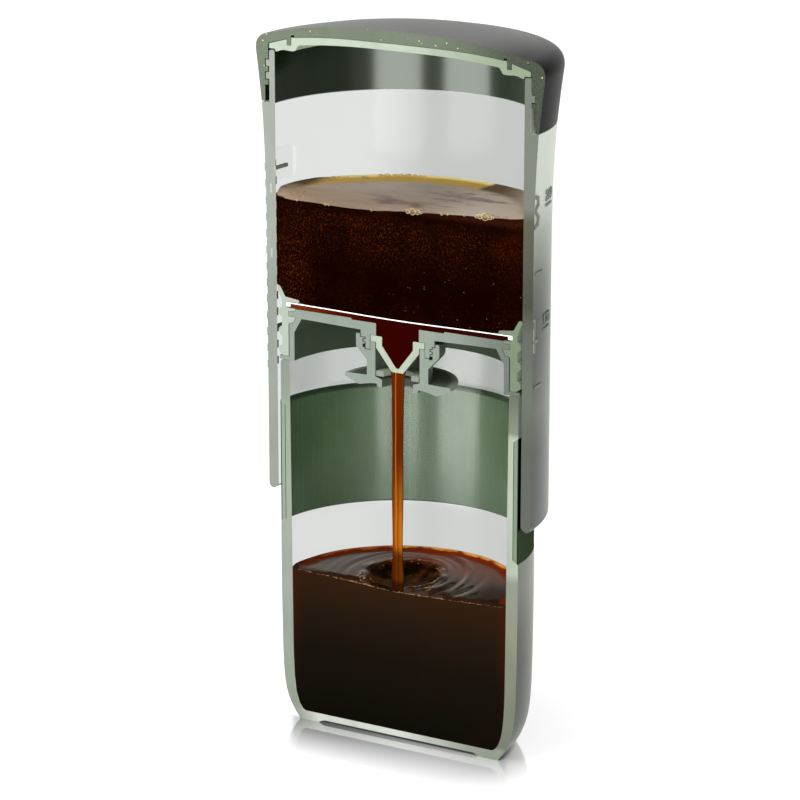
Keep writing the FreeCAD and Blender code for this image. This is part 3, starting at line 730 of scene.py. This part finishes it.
def pool_height(x, y):
    X, Y = x / MM, y / MM
    level = 46.75
    cx, cy = -4.5, 11.2
    dx, dy = X - cx, (Y - cy) * 0.92
    d = math.hypot(dx, dy)
    ang = math.atan2(dy, dx)
    z = level
    # crater round the stream with a torn lip, and a few rings running out behind it
    z += -3.0 * math.exp(-(d / 9.6) ** 6)
    z += 0.62 * math.exp(-((d - 11.6) / 1.2) ** 2) * (0.7 + 0.3 * math.sin(5 * ang + 0.8) + 0.25 * math.sin(11 * ang))
    side = 0.35 + 0.65 / (1 + math.exp(-(X + 4.0) / 5.0))
    if d > 12.6:
        u = d - 12.6
        z += side * 0.42 * math.sin(u * 1.02 + 0.7 * math.sin(3 * ang)) * math.exp(-u / 7.0)
    z += side * 0.13 * math.sin(d * 2.0 + 1.6 * math.sin(2 * ang + 1)) * math.exp(-((d - 17) / 6.0) ** 2)
    # torn wave lines that run off the crater towards the right front
    e = math.hypot(X - 13.0, Y - 2.0)
    z += 0.17 * math.sin(d * 1.35 + 0.9 * math.sin(ang * 4.0) + 0.5 * math.sin(ang * 9.0)) * math.exp(-(e / 8.5) ** 2)
    z += 0.06 * math.sin(X * 0.23 + 0.4) * math.sin(Y * 0.21)
    r = math.hypot(X, Y)
    z += 0.75 * math.exp(-(35.6 - r) / 0.9)
    front = along(POOL_FRONT, X)
    w = min(1.0, Y / 2.6)
    w = w * (2 - w)
    return (front * (1 - w) + z * w) * MM


pool = poured("coffee_pool", mm([(0, 2.7), (20, 2.7), (31.25, 2.7), (32.35, 3.3), (33.45, 4.85), (34.5, 8.15), (35.1, 13.0),
                                 (35.4, 20.0), (35.5, 30.0), (35.58, 40.0), (35.6, 46.7)]), pool_height, n_r=150, n_a=260)


def beads(name, spots, squeeze=0.62, cut=()):
    """Small bubbles as short domes, each a subdivided shell that floats in the surface. Those in cut
    are round, stand at the section and show as rings."""
    bm = bmesh.new()
    for x, z, r in cut:
        res = bmesh.ops.create_icosphere(bm, subdivisions=3, radius=r)
        y = 0.25 * r
        for v in res["verts"]:
            v.co.y = max(v.co.y, -y + CUT_Y * 0.35)
            v.co += Vector((x, y, z))
        n_u, n_v, tube = 28, 8, min(0.085 * MM, r * 0.16)
        grid = []
        for i in range(n_u):
            a = 2 * math.pi * i / n_u
            row = []
            for j in range(n_v):
                b = 2 * math.pi * j / n_v
                q = r * 0.93 + tube * math.cos(b)
                row.append(bm.verts.new((x + q * math.cos(a), tube * (1.15 + math.sin(b)), z + q * math.sin(a))))
            grid.append(row)
        for i in range(n_u):
            for j in range(n_v):
                f = bm.faces.new((grid[i][j], grid[(i + 1) % n_u][j], grid[(i + 1) % n_u][(j + 1) % n_v], grid[i][(j + 1) % n_v]))
                f.material_index = 1
    for x, y, z, r in spots:
        res = bmesh.ops.create_icosphere(bm, subdivisions=2, radius=r)
        for v in res["verts"]:
            v.co.z = v.co.z * squeeze if v.co.z > 0 else v.co.z * 0.5
            if y < r * 1.02:
                v.co.y = max(v.co.y, -y + CUT_Y * 1.2)
            v.co += Vector((x, y, z))
    for f in bm.faces:
        f.smooth = True
    me = bpy.data.meshes.new(name)
    bm.to_mesh(me)
    bm.free()
    o = bpy.data.objects.new(name, me)
    bpy.context.scene.collection.objects.link(o)
    return o


def cluster(height, cx, cy, n, spread_x, spread_y, r0, r1, taken, limit_r):
    out = []
    for _ in range(n * 30):
        if len(out) >= n:
            break
        x = cx + rng.gauss(0, spread_x)
        y = abs(cy + rng.gauss(0, spread_y))
        r = rng.uniform(r0, r1)
        if y < 0.12:
            y = 0.12
        if math.hypot(x, y) > limit_r - r:
            continue
        if any(math.hypot(x - a, y - b) < 0.8 * (r + c) for a, b, c in taken):
            continue
        taken.append((x, y, r))
        out.append((x * MM, y * MM, height(x * MM, y * MM) - r * 0.12 * MM, r * MM))
    return out


taken = []
spots = []
for X, Y, n, sx, sy, r0, r1 in ((-33.5, 2.0, 9, 3.0, 1.0, 0.25, 0.55), (-38.0, 5.5, 6, 0.8, 2.0, 0.25, 0.5),
                                (-27.0, 27.5, 6, 1.6, 0.6, 0.35, 0.75), (-32.0, 22.5, 4, 1.2, 0.6, 0.3, 0.6),
                                (5.6, 2.4, 7, 1.9, 0.5, 0.3, 0.7), (28.4, 2.6, 8, 1.8, 0.6, 0.35, 0.8),
                                (38.2, 6.0, 5, 0.5, 1.6, 0.25, 0.5)):
    spots += cluster(brew_height, X, Y, n, sx, sy, r0, r1, taken, 39.7)
# a row of larger ones against the wall at the back
for i, (deg, r) in enumerate(((127.5, 0.85), (124.6, 1.05), (121.2, 0.75), (118.6, 0.95), (115.6, 1.05), (112.6, 0.8),
                              (110.4, 0.6), (108.6, 0.4), (146.0, 0.6), (148.5, 0.8), (151.2, 0.5))):
    a = math.radians(deg)
    R = 39.6 - r
    x, y = R * math.cos(a) * MM, R * math.sin(a) * MM
    spots.append((x, y, brew_height(x, y) + r * 0.2 * MM, r * MM))
cut_spots = []
for X, r in ((3.3, 0.6), (4.8, 1.0), (6.4, 0.75), (7.6, 0.4), (25.2, 0.5), (26.3, 0.65), (27.9, 1.1), (29.4, 0.65), (30.3, 0.4),
             (14.2, 0.4), (16.0, 0.3), (21.4, 0.3), (-8.4, 0.35), (-23.6, 0.45), (-22.5, 0.3), (-33.0, 0.3)):
    cut_spots.append((X * MM, brew_height(X * MM, 0.0002) + r * 0.18 * MM, r * MM))
brew_bubbles = beads("bubbles_brew", spots, cut=cut_spots)

taken = []
spots = []
for X in np.arange(-34.5, 34.5, 0.62):
    if rng.random() < 0.72:
        spots += cluster(pool_height, float(X), 0.15, 1, 0.3, 0.12, 0.14, 0.42, taken, 35.2)
# round the crater's lip
for k in range(46):
    a = rng.uniform(-1.2, 2.8)
    rad = rng.gauss(11.1, 0.35)
    spots += cluster(pool_height, -4.5 + rad * math.cos(a), 11.2 + rad * math.sin(a) / 0.92, 1, 0.15, 0.15, 0.16, 0.42, taken, 35.2)
for X, Y, n, sx, sy, r0, r1 in ((8.0, 4.0, 12, 1.6, 1.4, 0.15, 0.42), (-12.5, 3.4, 11, 1.7, 1.1, 0.18, 0.5), (1.5, 3, 8, 2.4, 1.0, 0.15, 0.4),
                                (14.0, 8.0, 9, 4.0, 3.0, 0.12, 0.26), (-27.0, 8.0, 4, 3.0, 3.0, 0.12, 0.22)):
    spots += cluster(pool_height, X, Y, n, sx, sy, r0, r1, taken, 35.2)
pool_bubbles = beads("bubbles_pool", spots)


# ------------------------------------------------------------------ coffee materials
def brew_material(front):
    """Dark brew full of suspended grounds. The surface is glossy, with a golden meniscus at the wall."""
    t = Tree("brew_front" if front else "brew_liquid")
    s = t.axes()
    z, x = s["Z"], s["X"]
    r = t.radius()
    # body colour: nearly black below, red-brown towards the top
    up = t.ramp(z, 0.130, 0.160)
    body = t.mix(up, lin(11, 1, 0), lin(15, 3, 1))
    cloud = t.noise(70.0, 4.0, 0.6)
    body = t.mix(t.math("MULTIPLY", t.ramp(cloud, 0.45, 0.8), 0.5), body, lin(34, 8, 2))
    rightglow = t.math("MULTIPLY", t.math("MULTIPLY", t.ramp(x, 0.026, 0.033), t.ramp(cloud, 0.42, 0.62)),
                       t.math("MULTIPLY", t.ramp(z, 0.147, 0.152), t.ramp(t.math("MULTIPLY", z, -1.0), -0.1590, -0.1530)))
    body = t.mix(t.math("MULTIPLY", rightglow, 0.12), body, lin(72, 20, 3))
    # a redder layer right under the surface
    body = t.mix(t.math("MULTIPLY", t.ramp(z, 0.1566, 0.1586), t.math("ADD", t.math("MULTIPLY", t.ramp(x, -0.006, 0.026), 0.55), 0.15)), body, lin(46, 18, 9))
    # grounds of two sizes
    g1 = t.ramp(t.noise(1500.0, 2.0, 0.75, stretch=(1.0, 1.0, 0.72)), 0.54, 0.70)
    g2 = t.ramp(t.noise(2700.0, 1.5, 0.7, stretch=(1.0, 1.0, 0.8)), 0.58, 0.72)
    where = t.math("MAXIMUM", t.math("MULTIPLY", t.ramp(z, 0.138, 0.151), t.ramp(t.math("MULTIPLY", z, -1.0), -0.1575, -0.1535)),
                   t.ramp(t.math("MULTIPLY", x, -1.0), 0.022, 0.036))
    where = t.math("MULTIPLY", where, t.math("ADD", t.math("MULTIPLY", t.ramp(t.noise(75.0, 3.0, 0.6), 0.34, 0.66), 0.75), 0.25))
    where = t.math("MULTIPLY", where, t.ramp(t.math("MULTIPLY", z, -1.0), -0.1575, -0.1545))
    where = t.math("MULTIPLY", where, t.math("SUBTRACT", 1.0, t.math("MULTIPLY", t.ramp(x, 0.020, 0.030), 0.45)))
    where = t.math("ADD", t.math("MULTIPLY", where, 0.9), t.math("MULTIPLY", t.ramp(t.noise(45.0, 3.0, 0.6), 0.4, 0.65), 0.22), clamp=True)
    body = t.mix(t.math("MULTIPLY", t.math("MULTIPLY", g1, where), 0.66), body, lin(80, 31, 6))
    body = t.mix(t.math("MULTIPLY", t.math("MULTIPLY", g2, where), 0.58), body, lin(114, 57, 18))
    dark = t.ramp(t.noise(900.0, 2.0, 0.7), 0.55, 0.66)
    body = t.mix(t.math("MULTIPLY", dark, 0.8), body, lin(7, 2, 1))
    # few pale glints, mostly low on the right
    sp = t.n("ShaderNodeSeparateColor")
    t.link(t.cells(1500.0), sp.inputs[0])
    dot = t.math("MULTIPLY", t.ramp(sp.outputs[0], 0.972, 0.977), t.ramp(t.math("MULTIPLY", t.cells(1500.0, "Distance"), -1.0), -0.34, -0.2))
    dot = t.math("MULTIPLY", dot, t.math("MULTIPLY", t.ramp(x, -0.012, 0.02), t.ramp(t.math("MULTIPLY", z, -1.0), -0.152, -0.138)))
    body = t.mix(t.math("MULTIPLY", dot, 0.32), body, lin(150, 108, 74))
    if front:
        grit = t.noise(1500.0, 2.0, 0.6)
        return t.done(t.principled(body, 0.6, 0.0, normal=t.bump(grit, 0.1, 0.0002)))
    # surface
    geo = t.n("ShaderNodeNewGeometry")
    sep = t.n("ShaderNodeSeparateXYZ")
    t.link(geo.outputs["Normal"], sep.inputs[0])
    is_top = t.ramp(sep.outputs["Z"], 0.30, 0.55)
    top = t.mix(t.ramp(t.noise(60.0, 3.0, 0.6, stretch=(0.5, 1.6, 1.0)), 0.35, 0.7), lin(146, 125, 106), lin(131, 107, 89))
    top = t.mix(t.math("MULTIPLY", t.ramp(x, 0.000, 0.026), 0.75), top, lin(194, 175, 156))
    # long soft swirls of brown in the milky film
    swirl = t.ramp(t.noise(58.0, 3.0, 0.6, stretch=(0.75, 2.3, 1.0)), 0.54, 0.68)
    swirl = t.math("MULTIPLY", swirl, t.ramp(x, -0.022, -0.006))
    top = t.mix(t.math("MULTIPLY", swirl, 0.85), top, lin(72, 38, 26))
    # dark at the wall on both sides, golden along the back, where the layer is seen through
    wall = t.math("SQRT", t.math("ADD", t.math("POWER", t.math("ABSOLUTE", t.math("ADD", x, -0.0005)), 2.0),
                                 t.math("POWER", t.math("ABSOLUTE", t.math("ADD", s["Y"], 0.0050)), 2.0)))
    rim = t.ramp(wall, 0.0346, 0.0378)
    gold = t.math("MULTIPLY", t.ramp(x, -0.0365, -0.031), t.ramp(t.math("MULTIPLY", x, -1.0), -0.0105, -0.0080))
    edge = t.mix(gold, lin(74, 52, 32), lin(198, 156, 66))
    edge = t.mix(t.math("MULTIPLY", gold, t.ramp(r, 0.0370, 0.0394)), edge, lin(228, 208, 136))
    far = t.ramp(s["Y"], 0.004, 0.010)
    fade = t.math("SUBTRACT", 0.92, t.math("MULTIPLY", t.ramp(x, 0.014, 0.030), 0.72))
    top = t.mix(t.math("MULTIPLY", t.math("MULTIPLY", rim, far), fade), top, edge)
    col = t.mix(is_top, body, top)
    ripple = t.noise(160.0, 3.0, 0.5, stretch=(0.35, 1.0, 1.0))
    nrm = t.bump(ripple, 0.08, 0.0003)
    under = t.principled(col, 0.5, 0.0, normal=nrm)
    lw = t.n("ShaderNodeLayerWeight")
    lw.inputs["Blend"].default_value = 0.5
    gl = t.n("ShaderNodeBsdfGlossy")
    t.link(t.mix(t.math("MULTIPLY", rim, 0.8), (1.0, 0.92, 0.86, 1), (1.0, 0.84, 0.55, 1)), gl.inputs["Color"])
    gl.inputs["Roughness"].default_value = 0.16
    t.link(nrm, gl.inputs["Normal"])
    share = t.math("MULTIPLY", t.math("ADD", t.math("MULTIPLY", t.math("POWER", lw.outputs["Facing"], 4.0), 0.62), 0.02), is_top)
    share = t.math("MULTIPLY", share, t.math("SUBTRACT", 1.0, t.math("MULTIPLY", rim, 0.75)))
    m = t.n("ShaderNodeMixShader")
    t.link(share, m.inputs[0])
    t.link(under.outputs[0], m.inputs[1])
    t.link(gl.outputs[0], m.inputs[2])
    return t.done(m)


def pool_material(front):
    """Clear dark coffee: near black deep down, brown above, amber where it thins at the wall."""
    t = Tree("pool_front" if front else "pool_liquid")
    s = t.axes()
    z, x = s["Z"], s["X"]
    r = t.radius()
    body = t.color_ramp(t.ramp(z, 0.004, 0.047, smooth=False),
                        [(0.0, lin(14, 11, 6)), (0.45, lin(18, 14, 9)), (0.72, lin(28, 19, 11)), (0.9, lin(37, 22, 12)), (1.0, lin(38, 24, 13))])
    cloud = t.noise(32.0, 3.0, 0.5)
    body = t.mix(t.math("MULTIPLY", t.ramp(cloud, 0.45, 0.75), 0.3), body, lin(34, 15, 8))
    side = t.math("MULTIPLY", t.ramp(r, 0.0318, 0.0356), t.ramp(z, 0.006, 0.044))
    body = t.mix(t.math("MULTIPLY", side, 0.4), body, lin(60, 18, 5))
    if front:
        return t.done(t.principled(body, 0.5, 0.0, normal=t.bump(cloud, 0.05, 0.0002)))
    geo = t.n("ShaderNodeNewGeometry")
    sep = t.n("ShaderNodeSeparateXYZ")
    t.link(geo.outputs["Normal"], sep.inputs[0])
    is_top = t.ramp(sep.outputs["Z"], 0.15, 0.45)
    top = t.mix(t.ramp(t.noise(50.0, 3.0, 0.6, stretch=(0.6, 1.4, 1.0)), 0.35, 0.7), lin(46, 30, 20), lin(40, 18, 10))
    # redder towards the back and the right, then red brown, and amber at the very edge
    red = t.math("MULTIPLY", t.ramp(s["Y"], 0.012, 0.026), t.ramp(x, -0.024, -0.004))
    top = t.mix(t.math("MULTIPLY", red, 0.85), top, lin(84, 24, 8))
    torn = t.math("MULTIPLY", t.math("SUBTRACT", t.noise(210.0, 3.0, 0.65), 0.5), 0.0035)
    rr = t.math("ADD", r, torn)
    band = t.math("MULTIPLY", t.ramp(rr, 0.0312, 0.0332), t.ramp(s["Y"], 0.001, 0.004))
    bandcol = t.mix(t.ramp(x, -0.026, 0.004), lin(84, 27, 8), lin(112, 30, 5))
    top = t.mix(t.math("MULTIPLY", band, 0.95), top, bandcol)
    thin = t.math("MULTIPLY", t.ramp(rr, 0.0346, 0.0356), t.ramp(s["Y"], 0.002, 0.010))
    thin = t.math("MULTIPLY", thin, t.ramp(x, -0.0365, -0.0300))
    top = t.mix(thin, top, t.mix(t.ramp(x, -0.022, -0.012), lin(150, 72, 22), lin(206, 138, 60)))
    # the crater's inside
    ex = t.math("ADD", x, 0.0045)
    ey = t.math("MULTIPLY", t.math("ADD", s["Y"], -0.0112), 0.92)
    dist = t.math("SQRT", t.math("ADD", t.math("POWER", t.math("ABSOLUTE", ex), 2.0), t.math("POWER", t.math("ABSOLUTE", ey), 2.0)))
    dist = t.math("ADD", dist, t.math("MULTIPLY", t.math("SUBTRACT", t.noise(330.0, 2.0, 0.6), 0.5), 0.003))
    inside = t.ramp(t.math("MULTIPLY", dist, -1.0), -0.0115, -0.0101)
    top = t.mix(inside, top, t.mix(t.ramp(t.noise(260.0, 3.0, 0.6), 0.45, 0.7), lin(16, 9, 3), lin(70, 34, 6)))
    col = t.mix(is_top, body, top)
    nrm = t.bump(t.noise(420.0, 2.0, 0.5), 0.06, 0.0003)
    under = t.principled(col, 0.5, 0.0, normal=nrm)
    lw = t.n("ShaderNodeLayerWeight")
    lw.inputs["Blend"].default_value = 0.5
    gl = t.n("ShaderNodeBsdfGlossy")
    tint = t.mix(t.math("MULTIPLY", t.ramp(s["Y"], 0.010, 0.024), t.ramp(x, -0.024, -0.004)), (1.0, 0.92, 0.87, 1), (1.0, 0.74, 0.62, 1))
    t.link(t.mix(t.math("MAXIMUM", band, inside), tint, (1.0, 0.60, 0.30, 1)), gl.inputs["Color"])
    gl.inputs["Roughness"].default_value = 0.09
    t.link(nrm, gl.inputs["Normal"])
    share = t.math("MULTIPLY", t.math("ADD", t.math("MULTIPLY", t.math("POWER", lw.outputs["Facing"], 5.0), 0.95), 0.022), is_top)
    share = t.math("MULTIPLY", share, t.math("SUBTRACT", 1.0, t.math("MULTIPLY", inside, 0.8)))
    share = t.math("MULTIPLY", share, t.math("SUBTRACT", 1.0, t.math("MULTIPLY", band, 0.8)))
    corner = t.math("MULTIPLY", t.ramp(x, 0.017, 0.026), t.ramp(t.math("MULTIPLY", s["Y"], -1.0), -0.022, -0.010))
    share = t.math("MULTIPLY", share, t.math("SUBTRACT", 1.0, t.math("MULTIPLY", corner, 0.78)))
    m = t.n("ShaderNodeMixShader")
    t.link(share, m.inputs[0])
    t.link(under.outputs[0], m.inputs[1])
    t.link(gl.outputs[0], m.inputs[2])
    return t.done(m)


def stream_material():
    """A stream lit through: dark edges, a bright thread, brighter amber towards the bottom."""
    t = Tree("stream_liquid")
    s = t.axes()
    wob = t.math("MULTIPLY", t.math("SUBTRACT", t.noise(55.0, 2.0, 0.5, stretch=(0.2, 0.2, 1.0)), 0.5), 0.0009)
    x = t.math("ADD", s["X"], wob)
    across = t.ramp(x, -0.0021, 0.0021, smooth=False)
    # painted light and shade across the stream: dark edges and a bright thread
    upper = t.color_ramp(across, [(0.0, lin(50, 16, 1)), (0.12, lin(84, 30, 3)), (0.27, lin(66, 22, 2)), (0.34, lin(150, 88, 38)),
                                  (0.40, lin(84, 28, 3)), (0.62, lin(84, 27, 3)), (0.82, lin(80, 31, 6)), (1.0, lin(80, 42, 22))])
    lower = t.color_ramp(across, [(0.0, lin(58, 24, 3)), (0.14, lin(110, 50, 6)), (0.3, lin(130, 64, 10)), (0.4, lin(160, 100, 30)),
                                  (0.46, lin(140, 70, 8)), (0.54, lin(128, 62, 6)), (0.66, lin(150, 88, 12)), (0.84, lin(150, 92, 22)), (1.0, lin(110, 76, 44))])
    col = t.mix(t.ramp(t.math("MULTIPLY", s["Z"], -1.0), -0.088, -0.064), upper, lower)
    col = t.mix(t.math("MULTIPLY", t.ramp(t.math("MULTIPLY", s["Z"], -1.0), -0.0600, -0.0560), 0.86), col, lin(50, 15, 3))
    col = t.mix(t.math("MULTIPLY", t.ramp(t.math("MULTIPLY", s["Z"], -1.0), -0.0495, -0.0475), 0.85), col, lin(26, 9, 3))
    streak = t.noise(300.0, 3.0, 0.6, stretch=(6.0, 6.0, 0.4))
    col = t.mix(t.math("MULTIPLY", t.ramp(streak, 0.5, 0.75), 0.4), col, lin(78, 30, 4))
    return t.done(t.principled(col, 0.3, 0.0, normal=t.bump(streak, 0.2, 0.0002)))


def film_material():
    """Filtered brew in the thin layer and the cone: deep red, clearer on the left."""
    t = Tree("film_liquid")
    s = t.axes()
    base = t.mix(t.ramp(s["X"], -0.033, -0.018), lin(90, 36, 12), lin(60, 11, 3))
    base = t.mix(t.ramp(s["X"], -0.020, -0.006), base, lin(38, 2, 1))
    base = t.mix(t.ramp(s["X"], 0.008, 0.026), base, lin(36, 6, 3))
    base = t.mix(t.math("MULTIPLY", t.ramp(t.noise(120.0, 3.0, 0.6), 0.5, 0.75), 0.3), base, lin(52, 8, 2))
    return t.done(t.principled(base, 0.5, 0.0, normal=t.bump(t.noise(300.0, 2.0, 0.5), 0.05, 0.0003)))


def bubble_material(name, body, share=0.45):
    """Thin film bubble: mostly clear in the middle, coloured and shiny round the edge."""
    t = Tree(name)
    lw = t.n("ShaderNodeLayerWeight")
    lw.inputs["Blend"].default_value = 0.35
    col = t.mix(t.ramp(t.noise(1800.0, 2.0, 0.5), 0.3, 0.7), body, tuple(c * 0.7 for c in body[:3]) + (1.0,))
    p = t.principled(col, 0.08, 0.9, coat=0.6, coat_rough=0.03)
    see = t.n("ShaderNodeBsdfTransparent")
    see.inputs["Color"].default_value = (0.98, 0.93, 0.84, 1)
    m = t.n("ShaderNodeMixShader")
    t.link(t.math("ADD", t.math("MULTIPLY", t.math("POWER", lw.outputs["Facing"], 1.8), 0.95), share, clamp=True), m.inputs[0])
    t.link(see.outputs[0], m.inputs[1])
    t.link(p.outputs[0], m.inputs[2])
    return t.done(m)


def ring_material():
    """Edge of a bubble cut by the section: pale, with thinner and thicker places."""
    t = Tree("bubble_edge")
    n = t.noise(2400.0, 2.0, 0.5)
    base = t.mix(t.ramp(n, 0.35, 0.65), lin(150, 112, 72), lin(222, 206, 180))
    return t.done(t.principled(base, 0.22, 0.5, normal=t.bump(n, 0.1, 0.00003)))


brew.data.materials.append(brew_material(False))
brew.data.materials.append(brew_material(True))
pool.data.materials.append(pool_material(False))
pool.data.materials.append(pool_material(True))
for o, m in ((stream, stream_material()), (film, film_material()),
             (brew_bubbles, bubble_material("bubble_gold", lin(206, 176, 122), 0.16)),
             (pool_bubbles, bubble_material("bubble_amber", lin(200, 132, 60), 0.45))):
    o.data.materials.append(m)

brew_bubbles.data.materials.append(ring_material())

for o in (brew, brew_bubbles):
    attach(o, "head_body")
    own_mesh(o)
for o in (film, stream):
    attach(o, "head_body")
for o in (pool, pool_bubbles):
    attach(o, "bottle_body")


# ------------------------------------------------------------------ floor, light, camera
def floor():
    """A large pale sheet, smooth enough to show the foot mirrored."""
    n = 48
    size = 14.0
    verts, faces = [], []
    for j in range(n + 1):
        for i in range(n + 1):
            verts.append(((i / n - 0.5) * size, (j / n - 0.5) * size, 0.0))
    for j in range(n):
        for i in range(n):
            a = j * (n + 1) + i
            faces.append((a, a + 1, a + n + 2, a + n + 1))
    me = bpy.data.meshes.new("floor")
    me.from_pydata(verts, [], faces)
    o = bpy.data.objects.new("floor", me)
    bpy.context.scene.collection.objects.link(o)
    t = Tree("floor_white")
    s = t.axes()
    base = t.mix(t.noise(6.0, 2.0, 0.5), (0.56, 0.56, 0.56, 1), (0.60, 0.60, 0.60, 1))
    # soft shade close to the foot, deep below it
    near = t.ramp(s["Y"], -0.027, 0.0, smooth=False)
    near = t.math("MULTIPLY", near, t.ramp(t.math("MULTIPLY", s["Y"], -1.0), -0.002, 0.0))
    lean = t.math("ABSOLUTE", t.math("ADD", s["X"], t.math("MULTIPLY", s["Y"], 0.58)))
    near = t.math("MULTIPLY", t.math("POWER", near, 1.4), t.ramp(t.math("MULTIPLY", lean, -1.0), -0.0372, -0.0345))
    near = t.math("MULTIPLY", near, t.math("SUBTRACT", 0.86, t.math("MULTIPLY", t.ramp(s["X"], -0.030, 0.034), 0.60)))
    below = t.math("MULTIPLY", t.ramp(s["Y"], -0.0008, 0.0012), t.ramp(t.math("MULTIPLY", t.radius(), -1.0), -0.0350, -0.0330))
    near = t.math("MAXIMUM", near, t.math("MULTIPLY", below, 0.93))
    base = t.mix(near, base, (0.02, 0.02, 0.02, 1))
    p = t.principled(base, 0.6, 0.0)
    t.link(t.mix(near, (1, 1, 1, 1), (0.02, 0.02, 0.02, 1)), p.inputs["Emission Color"])
    p.inputs["Emission Strength"].default_value = 0.62
    gl = t.n("ShaderNodeBsdfGlossy")
    gl.inputs["Color"].default_value = (0.985, 0.985, 0.985, 1)
    gl.inputs["Roughness"].default_value = 0.055
    mixer = t.n("ShaderNodeMixShader")
    # polished close to where the object stands, matt further out
    ring = t.ramp(t.math("MULTIPLY", t.radius(), -1.0), -0.062, -0.030)
    ahead = t.ramp(s["Y"], -0.030, 0.004, smooth=False)
    t.link(t.math("MULTIPLY", t.math("MULTIPLY", ring, ahead), 0.62), mixer.inputs[0])
    t.link(p.outputs[0], mixer.inputs[1])
    t.link(gl.outputs[0], mixer.inputs[2])
    o.data.materials.append(t.done(mixer))
    return o


ground = floor()


def panel(name, az_deg, dist, width, height, z, radiance, aim=(0, 0, 0.1), color=(1, 1, 1)):
    """Soft panel at an azimuth counted from -Y towards +X."""
    a = math.radians(az_deg)
    pos = Vector((math.sin(a) * dist, -math.cos(a) * dist, z))
    L = bpy.data.lights.new(name, "AREA")
    L.shape = "RECTANGLE"
    L.size, L.size_y = width, height
    L.energy = radiance * width * height * math.pi
    L.color = color
    o = bpy.data.objects.new(name, L)
    bpy.context.scene.collection.objects.link(o)
    o.location = pos
    o.rotation_euler = (Vector(aim) - pos).to_track_quat("-Z", "Y").to_euler()
    o.visible_camera = False
    return o


for soft in (panel("panel_right", 29.5, 0.34, 0.24, 0.50, 0.25, 1.5, aim=(0, 0, 0.25)),
             panel("panel_left", -28.5, 0.34, 0.28, 0.50, 0.25, 1.9, aim=(0, 0, 0.25)),
             panel("panel_top", -50.0, 1.2, 2.6, 2.6, 1.9, 0.7, aim=(0, 0, 0))):
    soft.visible_glossy = False
# the strips make the highlights in the walls, and light nothing else; they reach below the floor, and neither floor nor pool blocks them
mirrored = bpy.data.collections.new("strip_receivers")
for o in (nodes["brew_sleeve"], nodes["bottle"], nodes["grip_band"]):
    mirrored.objects.link(o)
blockers = bpy.data.collections.new("strip_blockers")
for o in scene.objects:
    if o.type == "MESH" and o.name not in (ground.name, "coffee_pool"):
        blockers.objects.link(o)
for name, az_deg, wide in (("strip_right", 29.5, 0.15), ("strip_left", -34.5, 0.165)):
    strip = panel(name, az_deg, 0.20, wide, 0.54, 0.09, 13.0, aim=(0, 0, 0.09))
    strip.light_linking.receiver_collection = mirrored
    strip.light_linking.blocker_collection = blockers
    strip.visible_diffuse = False
    strip.visible_transmission = False
    strip.visible_volume_scatter = False

w = bpy.data.worlds.new("studio")
scene.world = w
w.use_nodes = True
nt = w.node_tree
nt.nodes.clear()
out = nt.nodes.new("ShaderNodeOutputWorld")
bg = nt.nodes.new("ShaderNodeBackground")
tc = nt.nodes.new("ShaderNodeTexCoord")
sp = nt.nodes.new("ShaderNodeSeparateXYZ")
mr = nt.nodes.new("ShaderNodeMapRange")
mx = nt.nodes.new("ShaderNodeMix")
mx.data_type = "RGBA"
nt.links.new(tc.outputs["Generated"], sp.inputs[0])
nt.links.new(sp.outputs["X"], mr.inputs["Value"])
mr.interpolation_type = "SMOOTHSTEP"
mr.inputs["From Min"].default_value = 0.15
mr.inputs["From Max"].default_value = 0.60
nt.links.new(mr.outputs["Result"], mx.inputs[0])
mx.inputs[6].default_value = (1.0, 1.0, 1.0, 1)
mx.inputs[7].default_value = (0.12, 0.125, 0.12, 1)
nt.links.new(mx.outputs[2], bg.inputs["Color"])
bg.inputs["Strength"].default_value = 1.0
nt.links.new(bg.outputs[0], out.inputs["Surface"])

cam_data = bpy.data.cameras.new("camera")
cam_data.sensor_width = 36.0
cam_data.sensor_fit = "HORIZONTAL"
cam_data.lens = 161.416
cam_data.clip_start = 0.01
cam_data.clip_end = 100.0
cam = bpy.data.objects.new("camera", cam_data)
bpy.context.scene.collection.objects.link(cam)
cam.location = (0.49157, -0.84302, 0.38976)
az, el = math.radians(30.203), math.radians(16.374)
look = Vector((-math.sin(az) * math.cos(el), math.cos(az) * math.cos(el), -math.sin(el)))
cam.rotation_euler = look.to_track_quat("-Z", "Y").to_euler()
scene.camera = cam
